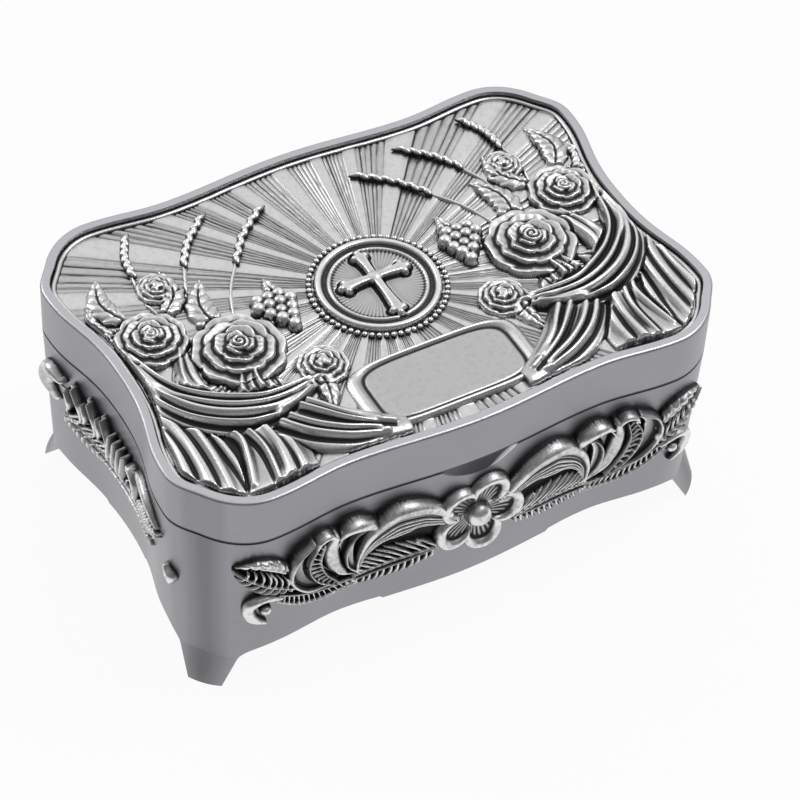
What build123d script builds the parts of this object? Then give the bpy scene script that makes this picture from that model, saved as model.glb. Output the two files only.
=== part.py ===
from build123d import *
import math
import os

# Rosary box: a cast pewter-finish keepsake box with a serpentine outline, a hinged lid that holds a
# relief plaque, applied flower and leaf castings on the four walls, and four tapered corner feet.
# Millimetres. X is the length, Y the depth with the front at -Y, Z is up from the surface it stands on.

# Overall sizes of the lid and the body
LENGTH = 80.0
DEPTH = 55.0
HEIGHT = 35.6            # to the top of the lid's rim
LID_HEIGHT = 7.5
FOOT_HEIGHT = 4.2
BODY_LEAN = 0.75         # how far the base wall leans in from the parting line down to the feet

# Serpentine outline: distances of its crests and hollows from the two centre lines
LONG_DIP_FROM_CENTRE = 18.5
LONG_DIP = 1.15          # hollow of the long sides, below the central bulge
LOBE_FROM_END = 10.5     # crest of the long side's corner lobe, from the end of the box
LOBE_DROP = 0.2
VALLEY_FROM_END = 2.75   # shallow hollow between the two lobes of a corner
VALLEY_FROM_SIDE = 4.7
VALLEY_ANGLE = 33.5
END_LOBE_FROM_SIDE = 10.1
WAIST = 2.45             # hollow of the short sides

# Walls and floors
LID_WALL = 1.8
LID_WEB = 1.2            # plate between the plaque and the inside of the lid
BASE_WALL = 1.8
FLOOR_THICKNESS = 1.4
RIM_ROUND = 0.4
PARTING_BEVEL = 0.15

# Relief plaque in its recess
RIM_WIDTH = 1.3
RECESS_DEPTH = 1.8
PLAQUE_GAP = 0.12
PLAQUE_THICKNESS = 0.9
PLAQUE_BORDER = 0.7
PLAQUE_BORDER_HEIGHT = 0.3
MEDALLION_RADIUS = 8.6
MEDALLION_HEIGHT = 0.45
CROSS_HEIGHT = 12.6
CROSS_SPAN = 10.6
CROSS_ARM = 1.6
CROSS_RELIEF = 0.95
TABLET_WIDTH = 25.6
TABLET_DEPTH = 12.0
TABLET_ROUND = 2.0
TABLET_HEIGHT = 0.4
TABLET_FROM_FRONT = 9.8  # middle of the tablet, from the front of the lid

# Bottom edge of the base: a low central apron with a shallow arch on each side of it
APRON_HALF_FRONT = 12.5
APRON_HALF_SIDE = 5.5
APRON_FRONT_RISE = 1.4   # apron of a long wall above the foot's top
APRON_SIDE_RISE = 1.2    # apron of a short wall above the foot's top
ARCH_STEP = 0.45         # little step where the apron ends
ARCH_RISE = 2.4          # top of the arch above the foot's top
ARCH_CREST_FROM_FOOT = 5.0
FLOOR_CLEAR = 0.4        # floor's underside above the top of the arches

# Feet
FOOT_FRONT_WIDTH = 6.3   # along X, from the end of the base
FOOT_SIDE_WIDTH = 7.6    # along Y, from the side of the base
SOLE_FRONT_WIDTH = 3.2   # along X
SOLE_SIDE_WIDTH = 3.4    # along Y
SOLE_FROM_END = 0.8      # outermost corner of a sole, from the end of the box
SOLE_FROM_SIDE = 2.1     # outermost corner of a sole, from the side of the box
SOLE_BULGE = 0.3
PEG_RADIUS = 1.0
PEG_LENGTH = 1.4
PEG_CLEARANCE = 0.04
PEG_BACK_CLEARANCE = 0.2

# Thumb scoop in the front wall, below the lid
SCOOP_WIDTH = 11.6
SCOOP_DROP = 2.5
SCOOP_DEPTH = 1.35       # into the wall, at the parting line

# Hinges
KNUCKLE_RADIUS = 1.3
PIN_RADIUS = 0.6
PIN_FIXED_CLEARANCE = 0.02
PIN_RUNNING_CLEARANCE = 0.05
PIN_PROUD = 0.3
OUTER_KNUCKLE = 2.4
LID_KNUCKLE = 3.4
KNUCKLE_GAP = 0.1
HINGE_STANDOFF = 0.45    # knuckles behind the hollow of the lid's back
LUG_BACK_HEIGHT = 1.2    # upright back of a lug, from the axis
LUG_HEIGHT = 3.8
LID_STOP_ANGLE = 100.0
STOP_GAP = 0.1

# Linings
LINING_GAP = 0.1
WALL_LINING = 0.6
WALL_LINING_TOP_GAP = 1.0
PAD_SIDE_GAP = 0.3
BASE_PAD_THICKNESS = 1.2
LID_PAD_THICKNESS = 0.8
PAD_GLUE = 0.05

# Applied ornament: how far each layer stands off the wall
SEAM = 0.03              # solder line behind every ornament
STEM_RELIEF = 1.0
LEAF_RELIEF = 1.5
BOLD_RELIEF = 2.0
ORNAMENT_GAP = 0.08      # between one ornament and the next, and round the hinges
PETALS = 5
PETAL_RADIUS = 3.1
PETAL_RING = 3.9
PETAL_TURN = -24.0       # first petal, from the upright
PETAL_DISH = 0.7
PETAL_DISH_RADIUS = 2.0
ROSETTE_LIFT = 1.95      # middle of the flower above the middle of the wall
BOSS_RELIEF = 2.6
FRONT_VOLUTE_RADIUS = 2.8
SIDE_VOLUTE_RADIUS = 2.5
VOLUTE_BALL = 1.0

# Places that follow from the sizes above
PARTING = HEIGHT - LID_HEIGHT
RECESS_FLOOR = HEIGHT - RECESS_DEPTH
LID_CEILING = RECESS_FLOOR - LID_WEB
ARCH_TOP = FOOT_HEIGHT + ARCH_RISE
FLOOR_UNDERSIDE = ARCH_TOP + FLOOR_CLEAR
FLOOR_TOP = FLOOR_UNDERSIDE + FLOOR_THICKNESS
HINGE_Y = DEPTH / 2 - LONG_DIP + HINGE_STANDOFF + KNUCKLE_RADIUS
HINGE_X = LONG_DIP_FROM_CENTRE
HINGE_WIDTH = 2 * OUTER_KNUCKLE + LID_KNUCKLE + 2 * KNUCKLE_GAP
ROSETTE_Z = (FOOT_HEIGHT + PARTING) / 2 + ROSETTE_LIFT
FOOT_X = LENGTH / 2 - FOOT_FRONT_WIDTH
FOOT_Y = DEPTH / 2 - BODY_LEAN - FOOT_SIDE_WIDTH


# ---------------------------------------------------------------- outline and walls

def outline_face(inset, z):
    """The serpentine outline, moved in from the lid's wall by inset, as a flat face at height z."""
    half_length, half_depth = LENGTH / 2, DEPTH / 2
    crests = [
        (0, half_depth, 90),
        (LONG_DIP_FROM_CENTRE, half_depth - LONG_DIP, 90),
        (half_length - LOBE_FROM_END, half_depth - LOBE_DROP, 90),
        (half_length - VALLEY_FROM_END, half_depth - VALLEY_FROM_SIDE, VALLEY_ANGLE),
        (half_length, half_depth - END_LOBE_FROM_SIDE, 0),
        (half_length - WAIST, 0, 0),
    ]
    points = []
    tangents = []
    for x, y, angle in crests:
        normal = Vector(1, 0).rotate(Axis.Z, angle)
        points.append(Vector(x, y) - normal * inset)
        tangents.append((normal.Y, -normal.X))
    quarter = Spline(*points, tangents=tangents)
    half = [quarter, mirror(quarter, Plane.YZ)]
    edges = [edge for curve in half + [mirror(curve, Plane.XZ) for curve in half] for edge in curve.edges()]
    return Pos(0, 0, z) * make_face(Wire(edges))


def lean(z):
    """How far the base wall has leaned in at height z."""
    return BODY_LEAN * (PARTING - z) / (PARTING - FOOT_HEIGHT)


def base_block(inset, low, high):
    """A solid with the base's leaning sides, moved in by inset, between two heights."""
    top = outline_face(inset + lean(high), high)
    bottom = outline_face(inset + lean(low), low)
    return loft([bottom.face(), top.face()], ruled=True)


def lid_block(inset, low, high):
    """A solid with the lid's upright sides, moved in by inset, between two heights."""
    return extrude(outline_face(inset, low), amount=high - low, dir=(0, 0, 1))


# ---------------------------------------------------------------- hinges

def side_profile(points):
    """A closed profile in the plane across the hinge axis, from (y, z) points seen from the axis."""
    corners = [(0, HINGE_Y + y, PARTING + z) for y, z in points]
    return make_face(Polyline(*corners, close=True))


def along_hinge(profile, width):
    """The profile drawn out both ways along X."""
    return extrude(profile, amount=width / 2, both=True)


def hinge_cylinder(radius, width):
    return Pos(0, HINGE_Y, PARTING) * Rot(0, 90, 0) * Cylinder(radius, width)


def lug(side, width):
    """Knuckle and the tapered web that joins it to the wall, above (side 1) or below (side -1)."""
    wall = -(KNUCKLE_RADIUS + HINGE_STANDOFF + LID_WALL / 3)
    web = side_profile([
        (wall, 0),
        (KNUCKLE_RADIUS, 0),
        (KNUCKLE_RADIUS, side * LUG_BACK_HEIGHT),
        (wall, side * LUG_HEIGHT),
    ])
    return along_hinge(web, width) + hinge_cylinder(KNUCKLE_RADIUS, width)


def lid_lug():
    return lug(1, LID_KNUCKLE) - hinge_cylinder(PIN_RADIUS + PIN_RUNNING_CLEARANCE, LID_KNUCKLE)


def base_lug():
    """Two outer knuckles, and between them a sloping shoulder that stops the lid's lug."""
    whole = lug(-1, HINGE_WIDTH)
    reach = KNUCKLE_RADIUS + STOP_GAP
    middle_width = LID_KNUCKLE + 2 * KNUCKLE_GAP
    room = 4 * KNUCKLE_RADIUS
    swing = Pos(0, 0, room - reach) * Box(middle_width, 4 * room, 2 * room)
    shoulder = Pos(0, HINGE_Y, PARTING) * Rot(90 - LID_STOP_ANGLE, 0, 0) * swing
    whole -= shoulder
    whole -= hinge_cylinder(reach, middle_width)
    return whole - hinge_cylinder(PIN_RADIUS + PIN_FIXED_CLEARANCE, HINGE_WIDTH)


def hinge_pin():
    pin = hinge_cylinder(PIN_RADIUS, HINGE_WIDTH + 2 * PIN_PROUD)
    return chamfer(pin.edges(), PIN_PROUD * 0.6)


# ---------------------------------------------------------------- lid

def lid_shell():
    shell = lid_block(0, PARTING, HEIGHT)
    shell = fillet(shell.edges().group_by(Axis.Z)[-1], RIM_ROUND)
    shell = chamfer(shell.edges().group_by(Axis.Z)[0], PARTING_BEVEL)
    shell -= lid_block(RIM_WIDTH, RECESS_FLOOR, HEIGHT + 1)
    shell -= lid_block(LID_WALL, PARTING - 1, LID_CEILING)
    for x in (-HINGE_X, HINGE_X):
        shell += Pos(x, 0, 0) * lid_lug()
    return shell


def relief_plaque():
    """The plate in the lid's recess, with its raised border, its tablet and the cross on its medallion."""
    inset = RIM_WIDTH + PLAQUE_GAP
    face_height = RECESS_FLOOR + PLAQUE_THICKNESS
    plaque = lid_block(inset, RECESS_FLOOR, face_height)
    border = lid_block(inset, face_height, face_height + PLAQUE_BORDER_HEIGHT)
    border -= lid_block(inset + PLAQUE_BORDER, face_height - 1, face_height + 1)
    medallion = Pos(0, 0, face_height) * Cone(
        MEDALLION_RADIUS, MEDALLION_RADIUS - MEDALLION_HEIGHT, MEDALLION_HEIGHT,
        align=(Align.CENTER, Align.CENTER, Align.MIN))
    low = (Align.CENTER, Align.CENTER, Align.MIN)
    cross_foot = face_height + MEDALLION_HEIGHT
    upright = Pos(0, 0, cross_foot) * Box(CROSS_ARM, CROSS_HEIGHT, CROSS_RELIEF, align=low)
    arms = Pos(0, CROSS_HEIGHT / 6, cross_foot) * Box(CROSS_SPAN, CROSS_ARM, CROSS_RELIEF, align=low)
    blank = extrude(RectangleRounded(TABLET_WIDTH, TABLET_DEPTH, TABLET_ROUND), amount=TABLET_HEIGHT)
    tablet = Pos(0, TABLET_FROM_FRONT - DEPTH / 2, face_height) * blank
    return plaque + border + medallion + upright + arms + tablet


def lid_lining_pad():
    top = LID_CEILING - PAD_GLUE
    return lid_block(LID_WALL + PAD_SIDE_GAP, top - LID_PAD_THICKNESS, top)


# ---------------------------------------------------------------- base

def arch_profile(foot_edge, apron_half, apron_rise):
    """Area below one wall's bottom edge, from foot to foot, as (along, z) points and curves."""
    apron = FOOT_HEIGHT + apron_rise
    step = apron + ARCH_STEP
    crest = foot_edge - ARCH_CREST_FROM_FOOT
    right = [
        Line((0, apron), (apron_half, apron)),
        Line((apron_half, apron), (apron_half + ARCH_STEP, step)),
        Spline((apron_half + ARCH_STEP, step), (crest, ARCH_TOP), tangents=[(1, 0.1), (1, 0)]),
        Spline((crest, ARCH_TOP), (foot_edge, FOOT_HEIGHT), tangents=[(1, 0), (0.35, -1)]),
        Line((foot_edge, FOOT_HEIGHT), (foot_edge, FOOT_HEIGHT - 1)),
        Line((foot_edge, FOOT_HEIGHT - 1), (0, FOOT_HEIGHT - 1)),
    ]
    edges = [edge for curve in right + [mirror(curve, Plane.YZ) for curve in right] for edge in curve.edges()]
    return make_face(Wire(edges))


def foot_section(z):
    """Plan of the top of the foot at +X +Y: a corner of the base's outline."""
    quadrant = Rectangle(LENGTH, DEPTH, align=(Align.MIN, Align.MIN))
    return outline_face(BODY_LEAN, z) & (Pos(FOOT_X, FOOT_Y, z) * quadrant)


def sole():
    """Plan of the sole of the foot at +X +Y: smaller than the top, and standing further out."""
    outer_x = LENGTH / 2 - SOLE_FROM_END
    outer_y = DEPTH / 2 - SOLE_FROM_SIDE
    inner_x = outer_x - SOLE_FRONT_WIDTH
    inner_y = outer_y - SOLE_SIDE_WIDTH
    bulge = SOLE_BULGE / math.sqrt(2)
    middle = ((inner_x + outer_x) / 2 + bulge, (inner_y + outer_y) / 2 + bulge)
    edges = [
        ThreePointArc((inner_x, outer_y), middle, (outer_x, inner_y)),
        Line((outer_x, inner_y), (inner_x, inner_y)),
        Line((inner_x, inner_y), (inner_x, outer_y)),
    ]
    return make_face(Wire([edge for curve in edges for edge in curve.edges()]))


def foot():
    """A tapered foot for the corner at +X +Y, with a peg that locates it under the base."""
    top = foot_section(FOOT_HEIGHT)
    centre = top.face().center()
    stub = loft([sole().face(), top.face()], ruled=True)
    peg = Pos(centre.X, centre.Y, FOOT_HEIGHT) * Cylinder(
        PEG_RADIUS, PEG_LENGTH, align=(Align.CENTER, Align.CENTER, Align.MIN))
    return stub + peg


def corners(piece):
    """The piece at all four corners, from the one at +X +Y."""
    right = [piece, mirror(piece, Plane.XZ)]
    return right + [mirror(item, Plane.YZ) for item in right]


def thumb_scoop():
    """Ball whose cut in the front wall is SCOOP_WIDTH wide and SCOOP_DROP deep at the parting line."""
    circle = (SCOOP_WIDTH ** 2 / 4 + SCOOP_DROP ** 2) / (2 * SCOOP_DROP)
    lift = circle - SCOOP_DROP
    chord = circle ** 2 - lift ** 2
    out = (chord - SCOOP_DEPTH ** 2) / (2 * SCOOP_DEPTH)
    return Pos(0, -DEPTH / 2 - out, PARTING + lift) * Sphere(math.hypot(out, circle))


def base_shell():
    shell = base_block(0, FOOT_HEIGHT, PARTING)
    shell = chamfer(shell.edges().group_by(Axis.Z)[-1], PARTING_BEVEL)
    shell -= base_block(BASE_WALL, FLOOR_TOP, PARTING + 1)
    under = base_block(BASE_WALL, FOOT_HEIGHT - 1, FLOOR_UNDERSIDE)
    bosses = [extrude(section, amount=PARTING, dir=(0, 0, 1)) for section in corners(foot_section(0))]
    for boss in bosses:
        under -= boss
    shell -= under
    front_back = Plane.XZ * arch_profile(FOOT_X, APRON_HALF_FRONT, APRON_FRONT_RISE)
    sides = Plane.YZ * arch_profile(FOOT_Y, APRON_HALF_SIDE, APRON_SIDE_RISE)
    shell -= extrude(front_back, amount=DEPTH, both=True)
    shell -= extrude(sides, amount=LENGTH, both=True)
    shell -= thumb_scoop()
    centre = foot_section(FOOT_HEIGHT).face().center()
    peg_hole = Pos(centre.X, centre.Y, FOOT_HEIGHT) * Cylinder(
        PEG_RADIUS + PEG_CLEARANCE, PEG_LENGTH + PEG_BACK_CLEARANCE,
        align=(Align.CENTER, Align.CENTER, Align.MIN))
    for hole in corners(peg_hole):
        shell -= hole
    for x in (-HINGE_X, HINGE_X):
        shell += Pos(x, 0, 0) * base_lug()
    return shell


def base_wall_lining():
    outer = BASE_WALL + LINING_GAP
    low, high = FLOOR_TOP + PAD_GLUE, PARTING - WALL_LINING_TOP_GAP
    return base_block(outer, low, high) - base_block(outer + WALL_LINING, low - 1, high + 1)


def base_floor_pad():
    inset = BASE_WALL + LINING_GAP + WALL_LINING + PAD_SIDE_GAP
    low = FLOOR_TOP + PAD_GLUE
    return base_block(inset, low, low + BASE_PAD_THICKNESS)


# ---------------------------------------------------------------- applied ornament

def wall_band(relief):
    """The layer that hugs the base's walls, from the solder line out to the relief's height."""
    low, high = FOOT_HEIGHT, PARTING
    return base_block(-relief, low, high) - base_block(-SEAM, low - 1, high + 1)


def on_wall(stretch, place):
    """Millimetres along and up a wall, from percentages of a stretch of it and of the wall's height.

    The second percentage is counted up or down from the middle of the flower.
    """
    start, end = stretch
    along, up = place
    return start + (end - start) * along / 100, ROSETTE_Z + (PARTING - FOOT_HEIGHT) * up / 100


def leaf(stretch, base, tip, upper, lower):
    """A leaf in elevation: two arcs from its base to its tip, each through one point."""
    base, tip, upper, lower = [on_wall(stretch, place) for place in (base, tip, upper, lower)]
    arcs = [ThreePointArc(base, upper, tip), ThreePointArc(tip, lower, base)]
    return make_face(Wire([edge for arc in arcs for edge in arc.edges()]))


def disc(centre, radius):
    return Pos(*centre) * Circle(radius)


def front_spray():
    """Right-hand spray of a long wall in elevation: the faces that stand off by each relief."""
    beside_flower = (PETAL_RING, LENGTH / 2)
    volute = on_wall(beside_flower, (74.5, -14))
    return {
        STEM_RELIEF: [
            leaf(beside_flower, (1.5, -18), (80, -5.5), (39, -14), (40.5, -29)),
            disc(volute, FRONT_VOLUTE_RADIUS),
        ],
        LEAF_RELIEF: [
            leaf(beside_flower, (9, -6), (34, -17), (22, 1), (21, -13)),
            leaf(beside_flower, (45.5, -15.5), (53.5, 24.5), (48, 6), (68.5, 6.5)),
            leaf(beside_flower, (64.5, -1), (85.5, 19.5), (71, 17), (79, 2)),
        ],
        BOLD_RELIEF: [
            leaf(beside_flower, (1.5, 11), (34.5, -16), (21, 25), (18.5, 4.5)),
            leaf(beside_flower, (34.5, -16.5), (37.5, 23), (32.5, 4.5), (49.5, 4.5)),
            disc(volute, VOLUTE_BALL),
        ],
    }


def side_spray():
    """Right-hand half of a short wall's garland in elevation, with its share of the palmette."""
    from_middle = (0, DEPTH / 2)
    volute = on_wall(from_middle, (55, -14))
    return {
        STEM_RELIEF: [
            leaf(from_middle, (-20, -18.5), (60, -5.5), (24, -10.5), (25, -28.5)),
            disc(volute, SIDE_VOLUTE_RADIUS),
        ],
        LEAF_RELIEF: [
            leaf(from_middle, (13.5, -16.5), (26.5, 24.5), (17, 6), (47, 6.5)),
            leaf(from_middle, (41.5, -1), (69, 19.5), (50.5, 17), (60.5, 2)),
        ],
        BOLD_RELIEF: [
            leaf(from_middle, (0, -23), (0, 26), (-10, 2), (10, 2)),
            disc(volute, VOLUTE_BALL),
        ],
    }


def casting(layers, wall_plane):
    """One casting from its drawn faces: each stands off the wall by its own relief."""
    total = None
    for relief, faces in layers.items():
        prism = extrude(wall_plane * faces[0], amount=2 * BOLD_RELIEF, both=True)
        for face in faces[1:]:
            prism += extrude(wall_plane * face, amount=2 * BOLD_RELIEF, both=True)
        layer = prism & wall_band(relief)
        total = layer if total is None else total + layer
    return total


FRONT_PLANE = Plane.XZ.offset(DEPTH / 2 - BODY_LEAN)
RIGHT_PLANE = Plane.YZ.offset(LENGTH / 2 - WAIST)


def petal_centres():
    ring = [Vector(0, PETAL_RING).rotate(Axis.Z, PETAL_TURN + 360 * k / PETALS) for k in range(PETALS)]
    return [(point.X, ROSETTE_Z + point.Y) for point in ring]


def rosette():
    """Five dished petals round a domed boss, on the middle of the front wall."""
    petals = [disc(centre, PETAL_RADIUS) for centre in petal_centres()]
    flower = casting({BOLD_RELIEF: petals}, FRONT_PLANE)
    wall_y = DEPTH / 2 - lean(ROSETTE_Z)
    ball = (PETAL_DISH_RADIUS ** 2 + PETAL_DISH ** 2) / (2 * PETAL_DISH)
    dish_y = wall_y + BOLD_RELIEF + ball - PETAL_DISH
    for x, z in petal_centres():
        flower -= Pos(x, -dish_y, z) * Sphere(ball)
    boss = Pos(0, -wall_y, ROSETTE_Z) * Sphere(BOSS_RELIEF)
    return flower + (boss - base_block(-SEAM, FOOT_HEIGHT, PARTING))


def beside_rosette(spray):
    """A spray of the front wall, cut to the rosette's outline."""
    for centre in petal_centres():
        petal_room = FRONT_PLANE * disc(centre, PETAL_RADIUS + ORNAMENT_GAP)
        spray -= extrude(petal_room, amount=2 * BOLD_RELIEF, both=True)
    return spray


def beside_hinge(spray):
    """A front spray turned round to the back wall, and cut clear of the hinges' lugs."""
    low = PARTING - LUG_HEIGHT - ORNAMENT_GAP
    width = HINGE_WIDTH + 2 * ORNAMENT_GAP
    lug_room = Box(width, DEPTH, LUG_HEIGHT, align=(Align.CENTER, Align.MIN, Align.MIN))
    spray = Rot(0, 0, 180) * spray
    for x in (-HINGE_X, HINGE_X):
        spray -= Pos(x, 0, low) * lug_room
    return spray


def side_garland():
    """The garland of the right-hand wall: one spray and its mirror image, joined at the palmette."""
    half = casting(side_spray(), RIGHT_PLANE)
    return half + mirror(half, Plane.XZ)


# ---------------------------------------------------------------- the whole box

def pieces():
    spray = casting(front_spray(), FRONT_PLANE)
    right_spray = beside_rosette(spray)
    left_spray = beside_rosette(mirror(spray, Plane.YZ))
    flower = rosette()
    garland = side_garland()
    pin = hinge_pin()
    feet = corners(foot())
    half_turn = Rot(0, 0, 180)
    return {
        "lid_shell": lid_shell(),
        "lid_relief_plaque": relief_plaque(),
        "lid_lining_pad": lid_lining_pad(),
        "base_shell": base_shell(),
        "base_wall_lining": base_wall_lining(),
        "base_floor_pad": base_floor_pad(),
        "foot_back_right": feet[0],
        "foot_front_right": feet[1],
        "foot_back_left": feet[2],
        "foot_front_left": feet[3],
        "hinge_pin_left": Pos(-HINGE_X, 0, 0) * pin,
        "hinge_pin_right": Pos(HINGE_X, 0, 0) * pin,
        "front_rosette": flower,
        "front_spray_right": right_spray,
        "front_spray_left": left_spray,
        "back_rosette": half_turn * flower,
        "back_spray_left": beside_hinge(right_spray),
        "back_spray_right": beside_hinge(left_spray),
        "side_garland_right": garland,
        "side_garland_left": half_turn * garland,
    }


os.makedirs("parts", exist_ok=True)
for name, piece in pieces().items():
    export_step(piece, f"parts/{name}.step")
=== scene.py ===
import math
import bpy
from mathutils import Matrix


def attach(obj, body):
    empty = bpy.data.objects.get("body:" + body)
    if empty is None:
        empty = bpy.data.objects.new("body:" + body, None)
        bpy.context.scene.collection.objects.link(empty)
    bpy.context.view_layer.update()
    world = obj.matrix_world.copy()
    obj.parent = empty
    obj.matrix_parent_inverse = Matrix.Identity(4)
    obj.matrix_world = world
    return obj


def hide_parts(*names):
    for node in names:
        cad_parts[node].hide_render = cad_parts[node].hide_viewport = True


bl_info = {
    "name": "Rosary Box",
    "version": (1, 0, 0),
    "blender": (4, 5, 0),
    "location": "View3D > Sidebar > Rosary Box",
    "description": "Finishes a cast pewter rosary box round its packed frame",
    "category": "Object",
}

import bmesh
import bpy
import numpy as np
from bpy.props import FloatProperty, FloatVectorProperty, IntProperty, PointerProperty
from mathutils import Matrix, Vector
from mathutils.geometry import delaunay_2d_cdt

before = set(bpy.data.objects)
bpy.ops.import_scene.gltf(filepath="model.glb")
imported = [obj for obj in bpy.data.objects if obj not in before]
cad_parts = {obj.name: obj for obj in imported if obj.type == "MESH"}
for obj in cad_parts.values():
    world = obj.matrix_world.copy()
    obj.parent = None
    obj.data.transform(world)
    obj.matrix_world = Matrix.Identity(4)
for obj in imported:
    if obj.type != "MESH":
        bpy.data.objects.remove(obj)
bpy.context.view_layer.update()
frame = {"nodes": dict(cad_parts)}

MM = 0.001

# Heights above the surface the box stands on, in millimetres as all sizes below
PARTING = 28.1           # between the base and the lid
FOOT_TOP = 4.2
RIM_TOP = 35.6
PLAQUE_UNDERSIDE = 33.82
SUNBURST_LEVEL = 34.5    # mean height of the rays

# The castings
WALL_LEAN = 0.75         # how far the base's wall has leaned in at the feet
PLAQUE_INSET = 1.3 + 0.12  # the lid's rim, and the gap between it and the plaque
BORDER_WIDTH = 0.75      # of the plaque's raised border
MEDAL_RADIUS = 8.6
BEAD_RING = 9.15         # radius of the ring of beads round the medal
VALLEY = (37.25, 22.8)   # hollow of a corner, from the two centre lines, where the painted corner shade is darkest
SCOOP_RADIUS = 7.98      # of the thumb scoop's outline on the front wall
SCOOP_CENTRE = 33.58     # height of that circle's centre
SCOOP_FRONT = -24.4      # the scoop lies in front of this
SCOOP_PAINTED_HIGHLIGHT = 5.6        # where the painted highlight line in the scoop crosses the parting

# Each ornament's own drawing: the height of its middle in the drawing and on the wall, and its stretch
ROSETTE_HEIGHT = 18.1
SPRAY_MIDDLE, SPRAY_RISE = 16.9, 0.958
GARLAND_MIDDLE, GARLAND_HEIGHT, GARLAND_RISE = 18.4, 19.9, 0.78
GARLAND_DEPTH = 0.85     # share of its drawn height that the garland keeps

# Grids of the sculpted pieces
LID_STEP = 0.11
WALL_STEP = 0.08
FLOWER_STEP = 0.07
MEDAL_STEP = 0.09
RAY_POINTS = 56          # round the sunburst's plate, for each ray
PLATE_RINGS = 56         # of points, from its middle to its edge
BACK_CELLS = 14          # grid cells between two points of a piece's hidden back
SUNK, SHOWN = -0.3, -0.2  # on the walls: the hidden back's level, and the level a piece starts at
LID_SUNK, LID_SHOWN = -0.45, -0.42  # the same on the lid

# The velvet pads
PAD_SCALE = 20.0         # the cloth simulation runs at this many times their size
PAD_CELL = 0.8           # side of their triangles
PAD_EDGE = 0.35          # width of their rounded edge


# ------------------------------------------------------------------ outline of the box

def corners(mesh):
    """Every vertex of a mesh, in metres."""
    places = np.empty(3 * len(mesh.vertices), dtype=np.float32)
    mesh.vertices.foreach_get("co", places)
    return places.reshape(-1, 3).astype(float)


def lid_outline(count=2880, keep=90):
    """The lid's serpentine outline and its outward normals, as two arrays, anticlockwise from +X. It
    reads the front half's lowest points, folds them into one quarter and keeps its slowest waves."""
    points = corners(frame["nodes"]["lid_shell"].data) / MM
    low_edge = points[np.abs(points[:, 2] - PARTING - 0.15) < 0.01]
    wall = low_edge[low_edge[:, 1] < 0]
    x, y = np.abs(wall[:, 0]), np.abs(wall[:, 1])
    angles, radii = np.arctan2(y, x), np.hypot(x, y)
    order = np.argsort(angles)
    turn = 2 * math.pi * np.arange(count) / count
    folded = np.arccos(np.abs(np.cos(turn)))
    reach = np.interp(folded, angles[order], radii[order])
    waves = np.fft.rfft(reach)
    waves[keep:] = 0
    reach = np.fft.irfft(waves, count)
    rim = np.stack([reach * np.cos(turn), reach * np.sin(turn)], 1)
    along = np.roll(rim, -1, 0) - np.roll(rim, 1, 0)
    normals = np.stack([along[:, 1], -along[:, 0]], 1)
    return rim, normals / np.linalg.norm(normals, axis=1, keepdims=True)


RIM, RIM_NORMALS = lid_outline()


def inside_outline(u, v, inset):
    """Roughly how far each place lies inside the outline, moved in by inset."""
    turn = np.arctan2(v, u) % (2 * math.pi)
    angles = 2 * math.pi * np.arange(len(RIM) + 1) / len(RIM)
    reach = np.hypot(RIM[:, 0], RIM[:, 1])
    facing = (RIM * RIM_NORMALS).sum(1) / reach
    limit = np.interp(turn, angles, np.append(reach, reach[0]))
    slope = np.interp(turn, angles, np.append(facing, facing[0]))
    return (limit - np.hypot(u, v)) * slope - inset


def lean(height):
    """How far the base's wall has leaned in at a height."""
    return WALL_LEAN * (PARTING - height) / (PARTING - FOOT_TOP)


def on_wall(wall, axis, run, height, out):
    """Points that stand off part of the outline by out, at a place along an axis and a height."""
    order = np.argsort(RIM[wall][:, axis])
    rim, normals = RIM[wall][order], RIM_NORMALS[wall][order]
    stand = out - lean(height)
    places = [run, run, height]
    for k in (0, 1):
        at = run if k == axis else np.interp(run, rim[:, axis], rim[:, k])
        places[k] = at + np.interp(run, rim[:, axis], normals[:, k]) * stand
    return np.stack(places, -1)


def front_wall(along, height, out):
    """Along runs from the left to the right."""
    return on_wall(RIM[:, 1] < -15, 0, along, height, out)


def left_wall(along, height, out):
    """Along runs from the back to the front."""
    return on_wall(RIM[:, 0] < -30, 1, -along, height, out)


# ------------------------------------------------------------------ sculpting

def curve_through(points, count=40):
    """Points along a smooth curve through the given ones."""
    knots = np.array(points, float)
    knots = np.vstack([2 * knots[0] - knots[1], knots, 2 * knots[-1] - knots[-2]])
    spans = len(knots) - 3
    place = np.linspace(0, spans, count)
    span = np.minimum(place.astype(int), spans - 1)
    f = (place - span)[:, None]
    a, b, c, d = knots[span], knots[span + 1], knots[span + 2], knots[span + 3]
    square, cube = 2 * a - 5 * b + 4 * c - d, 3 * b - a - 3 * c + d
    return 0.5 * (2 * b + (c - a) * f + square * f ** 2 + cube * f ** 3)


def eased(values, share):
    """A value along a stroke, smoothly through evenly spaced ones. A single number stays as it is."""
    if np.isscalar(values):
        return np.full_like(share, values)
    stations = np.linspace(0, 1, len(values))
    line = curve_through(np.stack([stations, values], 1), 60)
    return np.interp(share, line[:, 0], line[:, 1])


def blurred(field, cells):
    """The field after a soft blur, with its edges held."""
    pad = int(3 * cells) + 2
    wide = np.pad(field, pad, mode="edge")
    rows = np.fft.fftfreq(wide.shape[0])[:, None]
    columns = np.fft.rfftfreq(wide.shape[1])[None, :]
    soft = np.exp(-2 * (math.pi * cells) ** 2 * (rows ** 2 + columns ** 2))
    return np.fft.irfft2(np.fft.rfft2(wide) * soft, wide.shape)[pad:-pad, pad:-pad]


def headings(line):
    """Unit vectors along a line and to its left, at each of its points."""
    heading = np.gradient(line, axis=0)
    heading /= np.linalg.norm(heading, axis=1, keepdims=True)
    return heading, np.stack([-heading[:, 1], heading[:, 0]], 1)


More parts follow.
